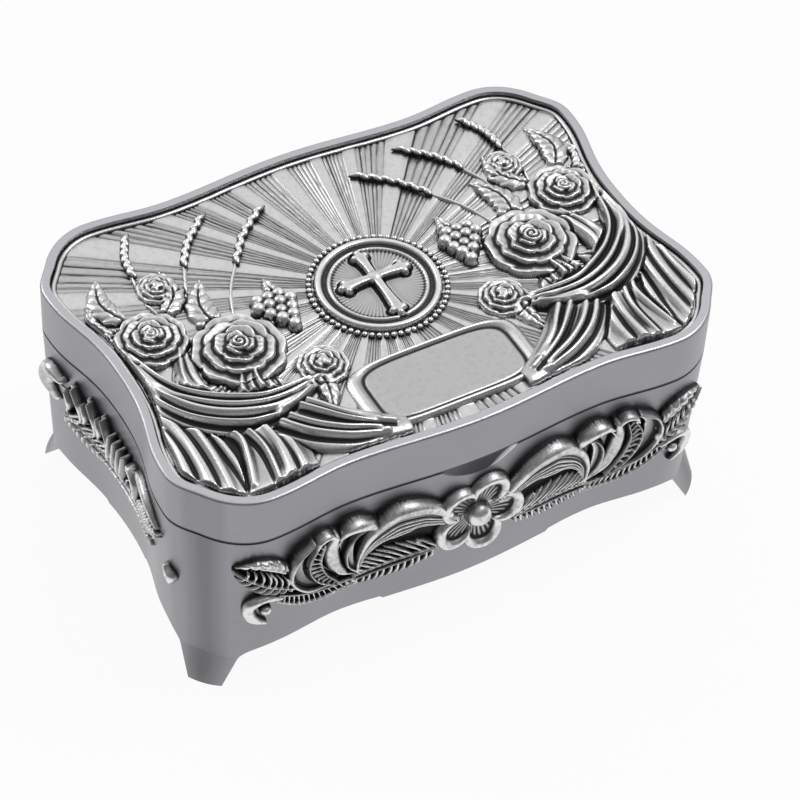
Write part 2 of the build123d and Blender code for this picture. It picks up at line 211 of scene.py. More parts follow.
def ridges(phase):
    """Rounded ridges with sharp grooves between them, from -1 to 1, one for each turn of the phase."""
    return 2 * np.sqrt(np.abs(np.cos(phase / 2))) - 1


def dome(q):
    """A half round, 1 in the middle and 0 where q is -1 or 1."""
    return np.sqrt(np.clip(1 - q ** 2, 0, 1))


def shoulder(q, start, width):
    """1 up to a start, and from there a quarter round that falls to 0 over a width."""
    return dome(np.clip((q - start) / width, 0, 1))


def shell(q):
    """A thin round rim along the path, with a lower blade on its left."""
    rim = dome(np.clip(np.where(q > 0, q / 0.16, q), -1, 1))
    return np.maximum(rim, 0.3 * shoulder(q, 0.8, 0.2) * (q > 0))


def plume(q):
    """A round smooth band about the path, and a lower slope that falls away on its right."""
    band = dome(np.clip(np.where(q > 0, q, q / 0.24), -1, 1))
    return np.maximum(band, (0.66 + 0.3 * q) * shoulder(-q, 0.85, 0.15) * (q < 0))


class Relief:
    """A height field over a flat patch. Motifs are laid on it from the lowest to the highest, and each
    cuts a narrow moat into what lies round it."""

    moat_depth = 0.5
    moat_width = 0.32
    ground_patina_and_shade = -1.0       # patina and painted shade: black below this height
    side_patina_and_shade = 0.15        # how black the steep sides are, as painted shade with patina
    dark_hollows = 1.0       # how black the hollows are

    def __init__(self, low, high, step, ground=SUNK):
        self.step = step
        self.low = np.array(low, float)
        self.ground = ground
        self.u, self.v = np.meshgrid(np.arange(low[0], high[0], step), np.arange(low[1], high[1], step))
        self.height = np.full(self.u.shape, float(ground))

    def patch(self, low, high):
        """The slices of the field between two corners."""
        start = np.maximum(((np.array(low) - self.low) / self.step).astype(int), 0)
        stop = np.maximum(((np.array(high) - self.low) / self.step).astype(int) + 2, 0)
        return slice(start[1], stop[1]), slice(start[0], stop[0])

    def lay(self, patch, top, beyond, moat=1.0, level=9.0):
        """Lays a surface where beyond, the distance outside the motif's edge, isn't above zero."""
        field = self.height[patch]
        near = moat * np.clip(1 - beyond / self.moat_width, 0, 1) * np.clip((level - field) / 0.2, 0, 1)
        sunk = np.maximum(field - self.moat_depth * near, np.minimum(field, self.ground))
        self.height[patch] = np.where(beyond > 0, sunk, np.maximum(field, top))

    def follow(self, path, reach):
        """Near a smooth path: the patch, the distance from the path, its side and the share run along it."""
        line = curve_through(path)
        patch = self.patch(line.min(0) - reach, line.max(0) + reach)
        u, v = self.u[patch][..., None], self.v[patch][..., None]
        if not u.size:
            return None
        start, step = line[:-1], np.diff(line, axis=0)
        long = np.hypot(step[:, 0], step[:, 1])
        run = np.clip(((u - start[:, 0]) * step[:, 0] + (v - start[:, 1]) * step[:, 1]) / long ** 2, 0, 1)
        du, dv = u - start[:, 0] - run * step[:, 0], v - start[:, 1] - run * step[:, 1]
        nearest = np.argmin(du ** 2 + dv ** 2, -1)[..., None]
        pick = lambda values: np.take_along_axis(values, nearest, -1)[..., 0]
        side = np.sign(pick(step[:, 0] * dv - step[:, 1] * du))
        before = np.concatenate([[0], np.cumsum(long)[:-1]])
        share = (before[nearest[..., 0]] + pick(run) * long[nearest[..., 0]]) / long.sum()
        return patch, np.hypot(pick(du), pick(dv)), side, share

    def stroke(self, path, width, foot, rise, shape=dome, other=None, ribs=0, rib_depth=0.12,
               rib_limit=1.0, barbs=0, barb_lean=1.2, barb_depth=0.16, midrib=0.0, teeth=0.0, moat=1.0):
        """A leaf, stem or fold along a path. Its half widths and heights change along it, and other is
        the half width on its right where that differs."""
        reach = max(np.max(width), np.max(width if other is None else other)) * 1.15 + self.moat_width
        found = self.follow(path, reach)
        if found is None:
            return
        patch, away, side, share = found
        half = eased(width, share)
        if other is not None:
            half = np.where(side > 0, half, eased(other, share))
        if teeth:
            half = half * (1 + teeth * (np.abs(share * barbs % 1.0 - 0.5) * 2 - 0.5))
        half = np.maximum(half, 0.02)
        q = side * away / half
        inside = np.clip(q, -1, 1)
        top = eased(foot, share) + eased(rise, share) * shape(inside)
        calm = np.clip((1 - np.abs(inside)) / 0.25, 0, 1)
        if ribs:
            calm = calm * np.clip((rib_limit - inside) / 0.15, 0, 1)
            top = top + rib_depth * calm * ridges(2 * math.pi * ribs * (inside + 1) / 2)
        if barbs:
            swept = share * barbs - barb_lean * np.abs(inside) * half
            top = top + barb_depth * np.clip(away / 0.25, 0, 1) * ridges(2 * math.pi * swept)
        if midrib:
            top = top + midrib * np.exp(-(away / 0.16) ** 2)
        level = eased(foot, share) + 0.5 * eased(rise, share)
        self.lay(patch, top, away - half, moat * np.clip(half / 0.5, 0.15, 1), level)

    def fold(self, path, width, rise):
        """A soft ridge, or a crease where rise is below zero, added to what lies there."""
        found = self.follow(path, max(np.max(width), 0.1) * 1.1)
        if found is None:
            return
        patch, away, _, share = found
        half = np.maximum(eased(width, share), 0.02)
        swell = np.cos(0.5 * math.pi * np.clip(away / half, 0, 1)) ** 2
        field = self.height[patch]
        self.height[patch] = np.where(field > self.ground + 0.05, field + eased(rise, share) * swell, field)

    def feather(self, path, count, long, lean, foot, rise, thick=0.3, sides=(1, -1)):
        """A leaf of separate barbs beside a thin midrib. Long holds the barbs' lengths on each side."""
        line = curve_through(path, 60)
        heading, left = headings(line)
        for k in range(count):
            share = 0.04 + 0.9 * k / count
            at = int(share * 59)
            level = foot + 0.5 * rise * (1 - share)
            for side in sides:
                reach = eased(long[0 if side > 0 else 1], np.array([share]))[0]
                barb = [line[at]]
                for part, turn in ((0.55, lean * 1.25), (1.0, lean)):
                    aim = math.cos(turn) * heading[at] + math.sin(turn) * side * left[at]
                    barb.append(line[at] + part * reach * aim)
                self.stroke(barb, (thick, thick * 1.15, 0.08), level, (rise * 0.7, rise, rise * 0.5))
        self.stroke(path, 0.2, foot, (rise * 1.5, rise * 1.3, rise * 1.1), moat=0.6)

    def ladder(self, path, half, count, foot, rise, lean=0.5):
        """A band with two thin raised rims and leaning bars between them."""
        line = curve_through(path, 90)
        heading, aside = headings(line)
        width = eased(half, np.linspace(0, 1, 90))[:, None]
        self.stroke(path, half, foot, 0.15 * rise)
        for k in range(count):
            at = int(89 * (k + 0.5) / count)
            across, slip = 0.75 * width[at] * aside[at], lean * width[at] * heading[at]
            self.stroke([line[at] - across - slip, line[at], line[at] + across + slip], 0.19,
                        foot + 0.15 * rise, 0.55 * rise, moat=0.3)
        for side in (1, -1):
            rail = line[::11] + side * 0.82 * (aside * width)[::11]
            self.stroke(rail, 0.21, foot, rise, moat=0.8)

    def ball(self, centre, radius, foot, rise):
        """A rounded drop."""
        patch = self.patch(np.array(centre) - radius * 1.4, np.array(centre) + radius * 1.4)
        away = np.hypot(self.u[patch] - centre[0], self.v[patch] - centre[1])
        top = foot + rise * dome(np.clip(away / radius, 0, 1))
        self.lay(patch, top, away - radius, 1.0, foot + 0.5 * rise)

    def rose(self, centre, radius, turn, foot, lift=1.0):
        """An open rose: rings of cupped petals, each ring higher than the one outside it."""
        patch = self.patch(np.array(centre) - radius * 1.25, np.array(centre) + radius * 1.25)
        u, v = self.u[patch] - centre[0], self.v[patch] - centre[1]
        top, beyond = np.full(u.shape, -9.0), np.full(u.shape, 9.0)
        rings = ((1.0, 5, 0.0), (0.76, 5, 0.38), (0.53, 4, 0.66), (0.32, 3, 0.86))
        for ring, (share, count, raised) in enumerate(rings):
            reach = share * radius
            for k in range(count):
                angle = turn + 2 * math.pi * (k + 0.5 * ring) / count
                out = u * math.cos(angle) + v * math.sin(angle)
                side = v * math.cos(angle) - u * math.sin(angle)
                q = np.hypot((out - 0.5 * reach) / (0.5 * reach), side / (0.66 * reach))
                q = q + 0.05 * np.cos(side / reach * 9) * np.clip(out / reach, 0, 1)
                rim = shoulder(q, 0.84, 0.16)
                lip = np.clip(out / reach, 0, 1) ** 2.2
                leaf = (raised + 0.12 + 0.62 * lip + 0.14 * side / reach) * lift
                leaf = leaf + 0.035 * np.cos(side / reach * 26) * lip
                top = np.where(q < 1, np.maximum(top, foot + leaf * (0.35 + 0.65 * rim)), top)
                beyond = np.minimum(beyond, (q - 1) * 0.5 * reach)
        away = np.hypot(u, v) / radius
        heart = foot + lift * (1.45 + 0.16 * np.cos(np.arctan2(v, u) - away * 60)) - 3.2 * away ** 2
        top = np.where(away < 0.2, np.maximum(top, heart), top)
        self.lay(patch, top, beyond, 1.0, foot + lift)

    def cloth(self, path, half, foot, rise, folds, seed):
        """Hanging cloth: a broad soft shape with rolled folds that fan out along it."""
        rng = np.random.default_rng(seed)
        patch, away, _, share = self.follow(path, np.max(half) * 1.1)
        pressed = np.minimum(self.height[patch], eased(foot, share))
        self.height[patch] = np.where(away < eased(half, share), pressed, self.height[patch])
        before = self.height.copy()
        self.stroke(path, half, foot, rise)
        laid = self.height.copy()
        line = curve_through(path, 60)
        _, aside = headings(line)
        width = eased(half, np.linspace(0, 1, 60))
        for k in range(folds):
            place = -0.84 + 1.68 * (k + 0.5 + rng.uniform(-0.14, 0.14)) / folds
            drift = rng.uniform(-0.3, 0.3)
            bow = rng.uniform(-0.12, 0.12)
            at = np.linspace(rng.uniform(0, 12), 59 - rng.uniform(0, 6), 6).astype(int)
            run = np.linspace(-0.5, 0.5, 6)
            across = (place + drift * run + bow * np.cos(2 * math.pi * run)) * width[at]
            ridge = line[at] + aside[at] * across[:, None]
            thick = rng.uniform(0.7, 1.1) * width.max() / folds
            high = rng.uniform(0.5, 1.0)
            self.fold(ridge, (0.3 * thick, thick, thick, 0.7 * thick), (0.3 * high, high, high, 0.5 * high))
            gully = ridge + aside[at] * (thick * rng.uniform(0.8, 1.0))
            self.fold(gully, (0.12, 0.4, 0.5, 0.4), (-0.1, -0.3, -0.4, -0.3))
        own = np.clip((laid - before) / 0.25, 0, 1)
        self.height = laid + own * (self.height - laid)

    def trim(self, inside):
        """Drops the field outside a region, given as how far inside its edge each place is."""
        self.height = np.where(inside > 0, self.height, self.ground)

    def wear(self):
        """How deep each place lies in the hollows, from 0 to 1, and how much it is rubbed bright. The fine
        hollows hold patina; the broad hollows, the steep sides and the low ground are darkened as patina with
        painted shade.
        """
        fine = (blurred(self.height, 0.2 / self.step) - self.height) / 0.07
        broad = (blurred(self.height, 0.75 / self.step) - self.height) / 0.4
        rise = np.gradient(self.height, self.step)
        steep = np.clip((blurred(np.hypot(*rise), 0.08 / self.step) - 1.1) / 1.6, 0, 1)
        depth = self.dark_hollows * (0.5 * fine + 0.6 * broad)
        # Painted shade with patina: the steep sides are darkened.
        hollow = np.clip(depth + 0.02 + self.side_patina_and_shade * steep, 0, 1)
        # Painted shade with patina: the low ground near the wall is darkened.
        low = 0.85 * np.clip((self.ground_patina_and_shade - self.height) / 0.45, 0, 1)
        hollow = np.maximum(hollow, low)
        crest = np.clip(-0.4 * fine - 0.45 * broad, 0, 1) * (1 - steep)
        return hollow, crest


# ------------------------------------------------------------------ making pieces

def placed(name, data):
    """A new object at the origin, for a mesh, a lamp or a camera."""
    piece = bpy.data.objects.new(name, data)
    bpy.context.scene.collection.objects.link(piece)
    return piece


def store(mesh, **fields):
    """Keeps a value of each field at every point."""
    for label, values in fields.items():
        attribute = mesh.attributes.new(label, "FLOAT", "POINT")
        attribute.data.foreach_set("value", values.astype(np.float32))


def built(name, points, faces, **fields):
    """A smooth piece from points in millimetres, its faces and its fields."""
    mesh = bpy.data.meshes.new(name)
    mesh.from_pydata((points * MM).tolist(), [], faces)
    store(mesh, **fields)
    mesh.shade_smooth()
    return placed(name, mesh)


def poured(mesh, made, outwards=False):
    """Empties a bmesh into a mesh, with its faces turned outwards where that is asked for."""
    if outwards:
        bmesh.ops.recalc_face_normals(made, faces=made.faces)
    made.to_mesh(mesh)
    made.free()
    return mesh


def turned_out(piece):
    """Turns a closed piece's faces outwards."""
    made = bmesh.new()
    made.from_mesh(piece.data)
    poured(piece.data, made, outwards=True)
    return piece


def strip(low, high):
    """Faces between two rings of points, given by the points' numbers."""
    return np.stack([low, np.roll(low, -1), np.roll(high, -1), high], 1).tolist()


def ring_points(at, inset, height):
    """Places of the outline, moved in by inset, at a height."""
    return np.column_stack([RIM[at] - RIM_NORMALS[at] * inset, np.full(len(at), height)])


def ringed(name, rings, step, **fields):
    """A closed hollow band through rings of (inset, height) round the outline. It takes every step-th
    place of the outline, and each field holds a value for each ring."""
    at = np.arange(0, len(RIM), step)
    starts = np.arange(len(rings) + 1) % len(rings) * len(at)
    numbers = [start + np.arange(len(at)) for start in starts]
    faces = sum((strip(low, high) for low, high in zip(numbers[:-1], numbers[1:])), [])
    points = np.concatenate([ring_points(at, inset, height) for inset, height in rings])
    return built(name, points, faces, **{key: np.repeat(values, len(at)) for key, values in fields.items()})


def solid(name, relief, place, keep_above):
    """A closed mesh from a height field: the sculpted face, a skirt and a hidden back."""
    relief.height = blurred(relief.height, 0.8)
    wanted = relief.height > keep_above
    cells = wanted[:-1, :-1] | wanted[1:, :-1] | wanted[:-1, 1:] | wanted[1:, 1:]
    rows, columns = relief.height.shape
    index = np.arange(rows * columns).reshape(rows, columns)
    corners = np.stack([index[:-1, :-1], index[:-1, 1:], index[1:, 1:], index[1:, :-1]], -1)[cells]
    used, faces = np.unique(corners, return_inverse=True)
    faces = faces.reshape(-1, 4)
    points = place(relief.u.ravel()[used], relief.v.ravel()[used], relief.height.ravel()[used])
    edges = np.concatenate([faces[:, [k, (k + 1) % 4]] for k in range(4)])
    keys = np.sort(edges, 1) @ np.array([len(used) + 1, 1])
    _, first, times = np.unique(keys, return_index=True, return_counts=True)
    rim = edges[first[times == 1]]
    rim_points, rim_faces = np.unique(rim, return_inverse=True)
    rim_faces = rim_faces.reshape(-1, 2)
    skirt = np.stack([rim[:, 1], rim[:, 0], *(rim_faces + len(used)).T], 1)
    spread_out = (used // columns % BACK_CELLS == 0) & (used % columns % BACK_CELLS == 0)
    spread_out[rim_points] = False
    at = used[np.concatenate([rim_points, np.flatnonzero(spread_out)])]
    row, column = at // columns, at % columns
    spots = [Vector(spot) for spot in zip(column, row)]
    back = delaunay_2d_cdt(spots, rim_faces.tolist(), [], 0, 1e-6)
    backing = np.array([found[0] for found in back[3]])[np.array(back[2])]
    inside = cells[row[backing].mean(1).astype(int), column[backing].mean(1).astype(int)]
    backing = (backing[inside] + len(used)).tolist()
    deep = place(relief.u.ravel()[at], relief.v.ravel()[at], np.full(len(at), relief.ground - 0.02))
    hollow, crest = (np.concatenate([field.ravel()[used], np.full(len(at), hidden)])
                     for field, hidden in zip(relief.wear(), (1.0, 0.0)))
    return turned_out(built(name, np.concatenate([points, deep]), faces.tolist() + skirt.tolist() + backing,
                            hollow=hollow, crest=crest))


def mirrored(piece, name, matrix):
    """A turned or mirrored copy, with its faces kept outwards and its place in its mesh."""
    mesh = piece.data.copy()
    mesh.transform(matrix)
    if matrix.determinant() < 0:
        mesh.flip_normals()
    return placed(name, mesh)


def join(piece, *others):
    """Adds the others' meshes to a piece."""
    made = bmesh.new()
    for item in (piece, *others):
        made.from_mesh(item.data)
    poured(piece.data, made).shade_smooth()
    for item in others:
        bpy.data.objects.remove(item)


FLIP_X = Matrix.Diagonal((-1, 1, 1, 1))
HALF_TURN = Matrix.Rotation(math.pi, 4, "Z")


# ------------------------------------------------------------------ node trees

class Nodes:
    """Builds a node tree with short calls."""

    def __init__(self, tree):
        self.tree = tree

    def add(self, kind, *values, **settings):
        """A node. Values fill its inputs in order, None skips one; settings are its own properties."""
        node = self.tree.nodes.new(kind)
        for key, value in settings.items():
            setattr(node, key, value)
        for socket, value in zip(node.inputs, values):
            self.fill(socket, value)
        return node

    def named(self, kind, **values):
        """A node whose inputs are filled by name."""
        node = self.add(kind)
        self.set(node, **values)
        return node

    def set(self, node, **values):
        """Fills a node's inputs by name, with _ for a space."""
        for label, value in values.items():
            self.fill(node.inputs[label.replace("_", " ")], value)

    def fill(self, socket, value):
        """Links a value to a socket, or sets it there."""
        if isinstance(value, bpy.types.Node):
            value = value.outputs[0]
        if isinstance(value, bpy.types.NodeSocket):
            self.tree.links.new(value, socket)
        elif value is not None:
            socket.default_value = value

    def math(self, operation, *values):
        return self.add("ShaderNodeMath", *values, operation=operation).outputs[0]

    def place(self):
        """The place on the piece."""
        return self.add("ShaderNodeTexCoord").outputs["Object"]

    def minus(self, first, second):
        return self.math("SUBTRACT", first, second)

    def times(self, first, second):
        return self.math("MULTIPLY", first, second)

    def hypot(self, first, second):
        squares = [self.math("POWER", side, 2.0) for side in (first, second)]
        return self.math("SQRT", self.math("ADD", *squares))

    def noise(self, vector, scale, detail, roughness):
        return self.named("ShaderNodeTexNoise", Vector=vector, Scale=scale, Detail=detail,
                          Roughness=roughness).outputs[0]

    def spread(self, value, low, high, to_low=0.0, to_high=1.0):
        """A value moved from one range to another, and held within it."""
        return self.add("ShaderNodeMapRange", value, low, high, to_low, to_high).outputs[0]

    def blend(self, share, first, second):
        """A colour between two."""
        node = self.add("ShaderNodeMix", data_type="RGBA")
        given = {"Factor_Float": share, "A_Color": first, "B_Color": second}
        for socket in node.inputs:
            self.fill(socket, given.get(socket.identifier))
        return next(socket for socket in node.outputs if socket.identifier == "Result_Color")

    def attribute(self, label):
        """A named value of the mesh, in a geometry tree."""
        return self.add("GeometryNodeInputNamedAttribute", label, data_type="FLOAT").outputs[0]

    def keep(self, geometry, label, value):
        """Stores a named value on the mesh, in a geometry tree."""
        return self.add("GeometryNodeStoreNamedAttribute", geometry, None, label, value, data_type="FLOAT")


def new_tree(name, *inputs):
    """An empty Geometry Nodes tree with named inputs: the tree, its builder, what it is given by name,
    and the inputs' identifiers by name."""
    tree = bpy.data.node_groups.new(name, "GeometryNodeTree")
    tree.interface.new_socket("Geometry", in_out="INPUT", socket_type="NodeSocketGeometry")
    sockets = {}
    for label, kind in inputs:
        made = tree.interface.new_socket(label, in_out="INPUT", socket_type="NodeSocket" + kind)
        sockets[label] = made.identifier
    tree.interface.new_socket("Geometry", in_out="OUTPUT", socket_type="NodeSocketGeometry")
    nodes = Nodes(tree)
    return tree, nodes, nodes.add("NodeGroupInput").outputs, sockets


def coated(nodes, geometry, given):
    """Ends a tree: realized, with its material set."""
    whole = nodes.add("GeometryNodeRealizeInstances", geometry)
    coat = nodes.named("GeometryNodeSetMaterial", Geometry=whole, Material=given["Finish"])
    nodes.add("NodeGroupOutput", coat)


def made_plain(piece):
    """Turns a piece's modifiers into its plain mesh."""
    bpy.context.view_layer.update()
    result = bpy.data.meshes.new_from_object(piece.evaluated_get(bpy.context.evaluated_depsgraph_get()))
    piece.modifiers.clear()
    piece.data = result


def grown(piece, tree, sockets, **values):
    """Runs a tree on a piece, with its inputs by name, and keeps the result as its plain mesh."""
    modifier = piece.modifiers.new("growth", "NODES")
    modifier.node_group = tree
    for label, value in values.items():
        modifier[sockets[label]] = value
    made_plain(piece)
    return piece


# ------------------------------------------------------------------ materials

def shader(name):
    """A new material, its node builder and its principled shader."""
    material = bpy.data.materials.new(name)
    material.use_nodes = True
    return material, Nodes(material.node_tree), material.node_tree.nodes["Principled BSDF"]


def bump(nodes, height, strength, distance):
    """The bent normal of a fine rough surface, with the distance in metres."""
    return nodes.named("ShaderNodeBump", Strength=strength, Distance=distance, Height=height)


def colour(rgb, share=1.0):
    return (rgb[0] * share, rgb[1] * share, rgb[2] * share, 1.0)


def brushed_pewter(name, rgb, roughness, streak, rim=1.0):
    """Satin metal with fine streaks round the walls. Shade is painted dark into the seam, the thumb scoop and
    the corners' hollows, with a painted highlight line in the scoop, and the lid's flat rim is painted rim
    times as bright, as painted light."""
    material, nodes, metal = shader(name)
    place = nodes.place()
    stretched = nodes.named("ShaderNodeMapping", Vector=place, Scale=(0.04, 0.04, 1.0))
    lines = nodes.noise(stretched, 4200.0, 4.0, 0.65)
    broad = nodes.noise(place, 70.0, 2.0, 0.5)
    grain = nodes.noise(place, 5200.0, 3.0, 0.6)
    tone = nodes.math("ADD", nodes.times(lines, 0.6), nodes.times(broad, 0.25))
    tone = nodes.math("ADD", tone, nodes.times(grain, 0.15))
    x, y, z = nodes.add("ShaderNodeSeparateXYZ", place).outputs
    over_seam = nodes.minus(z, PARTING * MM)

    # Painted shade: a thin band either side of the parting is darkened for the shadow in the seam, while the
    # flat faces right at the parting stay bright.
    seam = nodes.math("ABSOLUTE", over_seam)
    shade = nodes.math("MAXIMUM", nodes.spread(seam, 0.14 * MM, 0.34 * MM, 0.05, 1.0),
                       nodes.spread(seam, 0.075 * MM, 0.06 * MM))
    # Painted shade: the base's walls darken towards the hollows of the corners.
    off = nodes.hypot(*(nodes.minus(nodes.math("ABSOLUTE", side), middle * MM)
                        for side, middle in zip((x, y), VALLEY)))
    base_only = nodes.spread(z, (PARTING + 0.1) * MM, (PARTING - 0.1) * MM)
    corner = nodes.math("MAXIMUM", nodes.spread(off, 0.5 * MM, 3.4 * MM, 0.62, 1.0),
                        nodes.math("MULTIPLY_ADD", base_only, -0.86, 0.86))
    tint = nodes.blend(nodes.spread(tone, 0.3, 0.7), colour(rgb, 1 - streak), colour(rgb, 1 + streak))
    tint = nodes.blend(nodes.times(shade, corner), colour(rgb, 0.04), tint)
    # Painted light: the lid's flat rim top is brightened rim times, for the bright light it faces.
    top = nodes.spread(z, (RIM_TOP - 0.25) * MM, (RIM_TOP - 0.02) * MM)
    tint = nodes.blend(top, tint, colour(rgb, rim))

    # Painted shade and highlight: the thumb scoop is darkened, with a painted highlight line along its right
    # edge.
    reach = nodes.hypot(x, nodes.minus(z, SCOOP_CENTRE * MM))
    scoop = nodes.times(nodes.spread(reach, (SCOOP_RADIUS + 0.05) * MM, (SCOOP_RADIUS - 0.1) * MM),
                        nodes.spread(y, SCOOP_FRONT * MM, (SCOOP_FRONT - 0.5) * MM))
    scoop = nodes.times(scoop, nodes.spread(z, (PARTING - 0.02) * MM, (PARTING - 0.1) * MM))
    slant = nodes.math("MULTIPLY_ADD", over_seam, -1.5, x)
    painted_glint = nodes.spread(nodes.math("ABSOLUTE", nodes.minus(slant, SCOOP_PAINTED_HIGHLIGHT * MM)), 0.75 * MM, 0.3 * MM)
    tint = nodes.blend(nodes.minus(1.0, scoop), nodes.blend(painted_glint, colour(rgb, 0.42), colour(rgb, 2.6)), tint)

    rough_lines = nodes.math("ADD", nodes.times(lines, 0.7), nodes.times(grain, 0.3))
    nodes.set(metal, Base_Color=tint, Metallic=1.0, Normal=bump(nodes, rough_lines, 0.5, 0.00004),
              Roughness=nodes.spread(lines, 0.25, 0.75, roughness - 0.06, roughness + 0.08))
    return material


def patina_and_shade_pewter(name, rgb, roughness, patina, speckle):
    """Cast metal, black in its hollows and rubbed bright on its crests. The black is patina, with painted
    shade where the hollow value also carries a relief's steep sides, broad hollows and low ground.
    """
    material, nodes, metal = shader(name)
    place = nodes.place()
    hollow, crest = (nodes.add("ShaderNodeAttribute", attribute_name=label).outputs["Fac"]
                     for label in ("hollow", "crest"))
    cloud = nodes.noise(place, 1400.0, 3.0, 0.6)
    grain = nodes.noise(place, 5200.0, 3.0, 0.6)
    # Patina and painted shade: blends to the patina colour where the hollow value is high.
    dark = nodes.spread(nodes.math("ADD", hollow, nodes.math("MULTIPLY_ADD", cloud, 0.3, -0.15)), 0.02, 0.5)
    body = nodes.blend(nodes.spread(cloud, 0.3, 0.7), colour(rgb, 0.86), colour(rgb, 1.08))
    rubbed = nodes.times(crest, nodes.spread(cloud, 0.38, 0.62, 1 - speckle, 1 + 0.75 * speckle))
    bright = nodes.blend(nodes.spread(rubbed, 0.12, 0.95), body, (0.82, 0.82, 0.81, 1))
    polish = nodes.spread(crest, 0.2, 0.9, roughness, roughness - 0.06)
    nodes.set(metal, Base_Color=nodes.blend(dark, bright, colour(patina)), Metallic=1.0,
              Roughness=nodes.spread(dark, 0.0, 1.0, polish, 0.6), Normal=bump(nodes, grain, 0.5, 0.00004))
    return material


def ornament_pewter(name, finish):
    """The metal of the flowers and leaves on the walls."""
    return patina_and_shade_pewter(name, finish.ornament_colour, finish.roughness - 0.03, finish.patina_colour,
                            speckle=0.45)


def dress(piece, material):
    """Gives a piece, or a CAD node, its one material."""
    piece.data.materials.clear()
    piece.data.materials.append(material)


# ------------------------------------------------------------------ settings a user would change

COLOUR = dict(subtype="COLOR", size=3, min=0, max=1)
LENGTH = dict(subtype="DISTANCE", unit="LENGTH")


class FinishSettings(bpy.types.PropertyGroup):
    wall_colour: FloatVectorProperty(
        name="Wall colour", description="Satin pewter of the base's walls", default=(0.315, 0.308, 0.33),
        **COLOUR)
    lid_colour: FloatVectorProperty(
        name="Lid colour", description="Satin pewter of the lid's wall and rim", default=(0.33, 0.325, 0.345),
        **COLOUR)
    foot_colour: FloatVectorProperty(
        name="Foot colour", description="Darker pewter of the feet", default=(0.36, 0.35, 0.37), **COLOUR)
    relief_colour: FloatVectorProperty(
        name="Relief colour", description="Polished pewter of the lid's relief", default=(0.50, 0.50, 0.505),
        **COLOUR)
    ornament_colour: FloatVectorProperty(
        name="Ornament colour", description="Rubbed pewter of the walls' flowers and leaves",
        default=(0.41, 0.408, 0.415), **COLOUR)
    # Also the colour of the painted shade on the reliefs' steep sides and low ground.
    patina_colour: FloatVectorProperty(
        name="Patina colour", description="Black patina left in the hollows", default=(0.048, 0.048, 0.05),
        **COLOUR)
    velvet_colour: FloatVectorProperty(
        name="Velvet colour", description="Velvet of the linings", default=(0.02, 0.02, 0.028), **COLOUR)
    roughness: FloatProperty(
        name="Roughness", description="Roughness of the satin pewter", subtype="FACTOR", default=0.36,
        min=0.05, max=1)


class RosetteSettings(bpy.types.PropertyGroup):
    petals: IntProperty(name="Petals", description="Petals round the boss", min=3, max=12, default=5)
    ring: FloatProperty(
        name="Petal ring", description="From the boss to the middle of a petal", default=0.0039,
        min=0.001, max=0.01, **LENGTH)
    petal: FloatProperty(
        name="Petal", description="Radius of a petal", default=0.0031, min=0.001, max=0.01, **LENGTH)
    turn: FloatProperty(
        name="Turn", description="Angle of the first petal from the horizontal", subtype="ANGLE",
        default=math.radians(66))


class SunburstSettings(bpy.types.PropertyGroup):
    rays: IntProperty(name="Rays", description="Broad rays round the lid", min=8, max=60, default=28)
    lines: IntProperty(name="Lines", description="Fine lines between two broad rays", min=1, max=9, default=5)
    broad_share: FloatProperty(
        name="Broad share", description="Part of each interval that the broad ray takes", subtype="FACTOR",
        min=0.1, max=0.9, default=0.4)
    relief: FloatProperty(
        name="Relief", description="Height of the rays", default=0.00032, min=0, max=0.001, **LENGTH)


# ------------------------------------------------------------------ stage

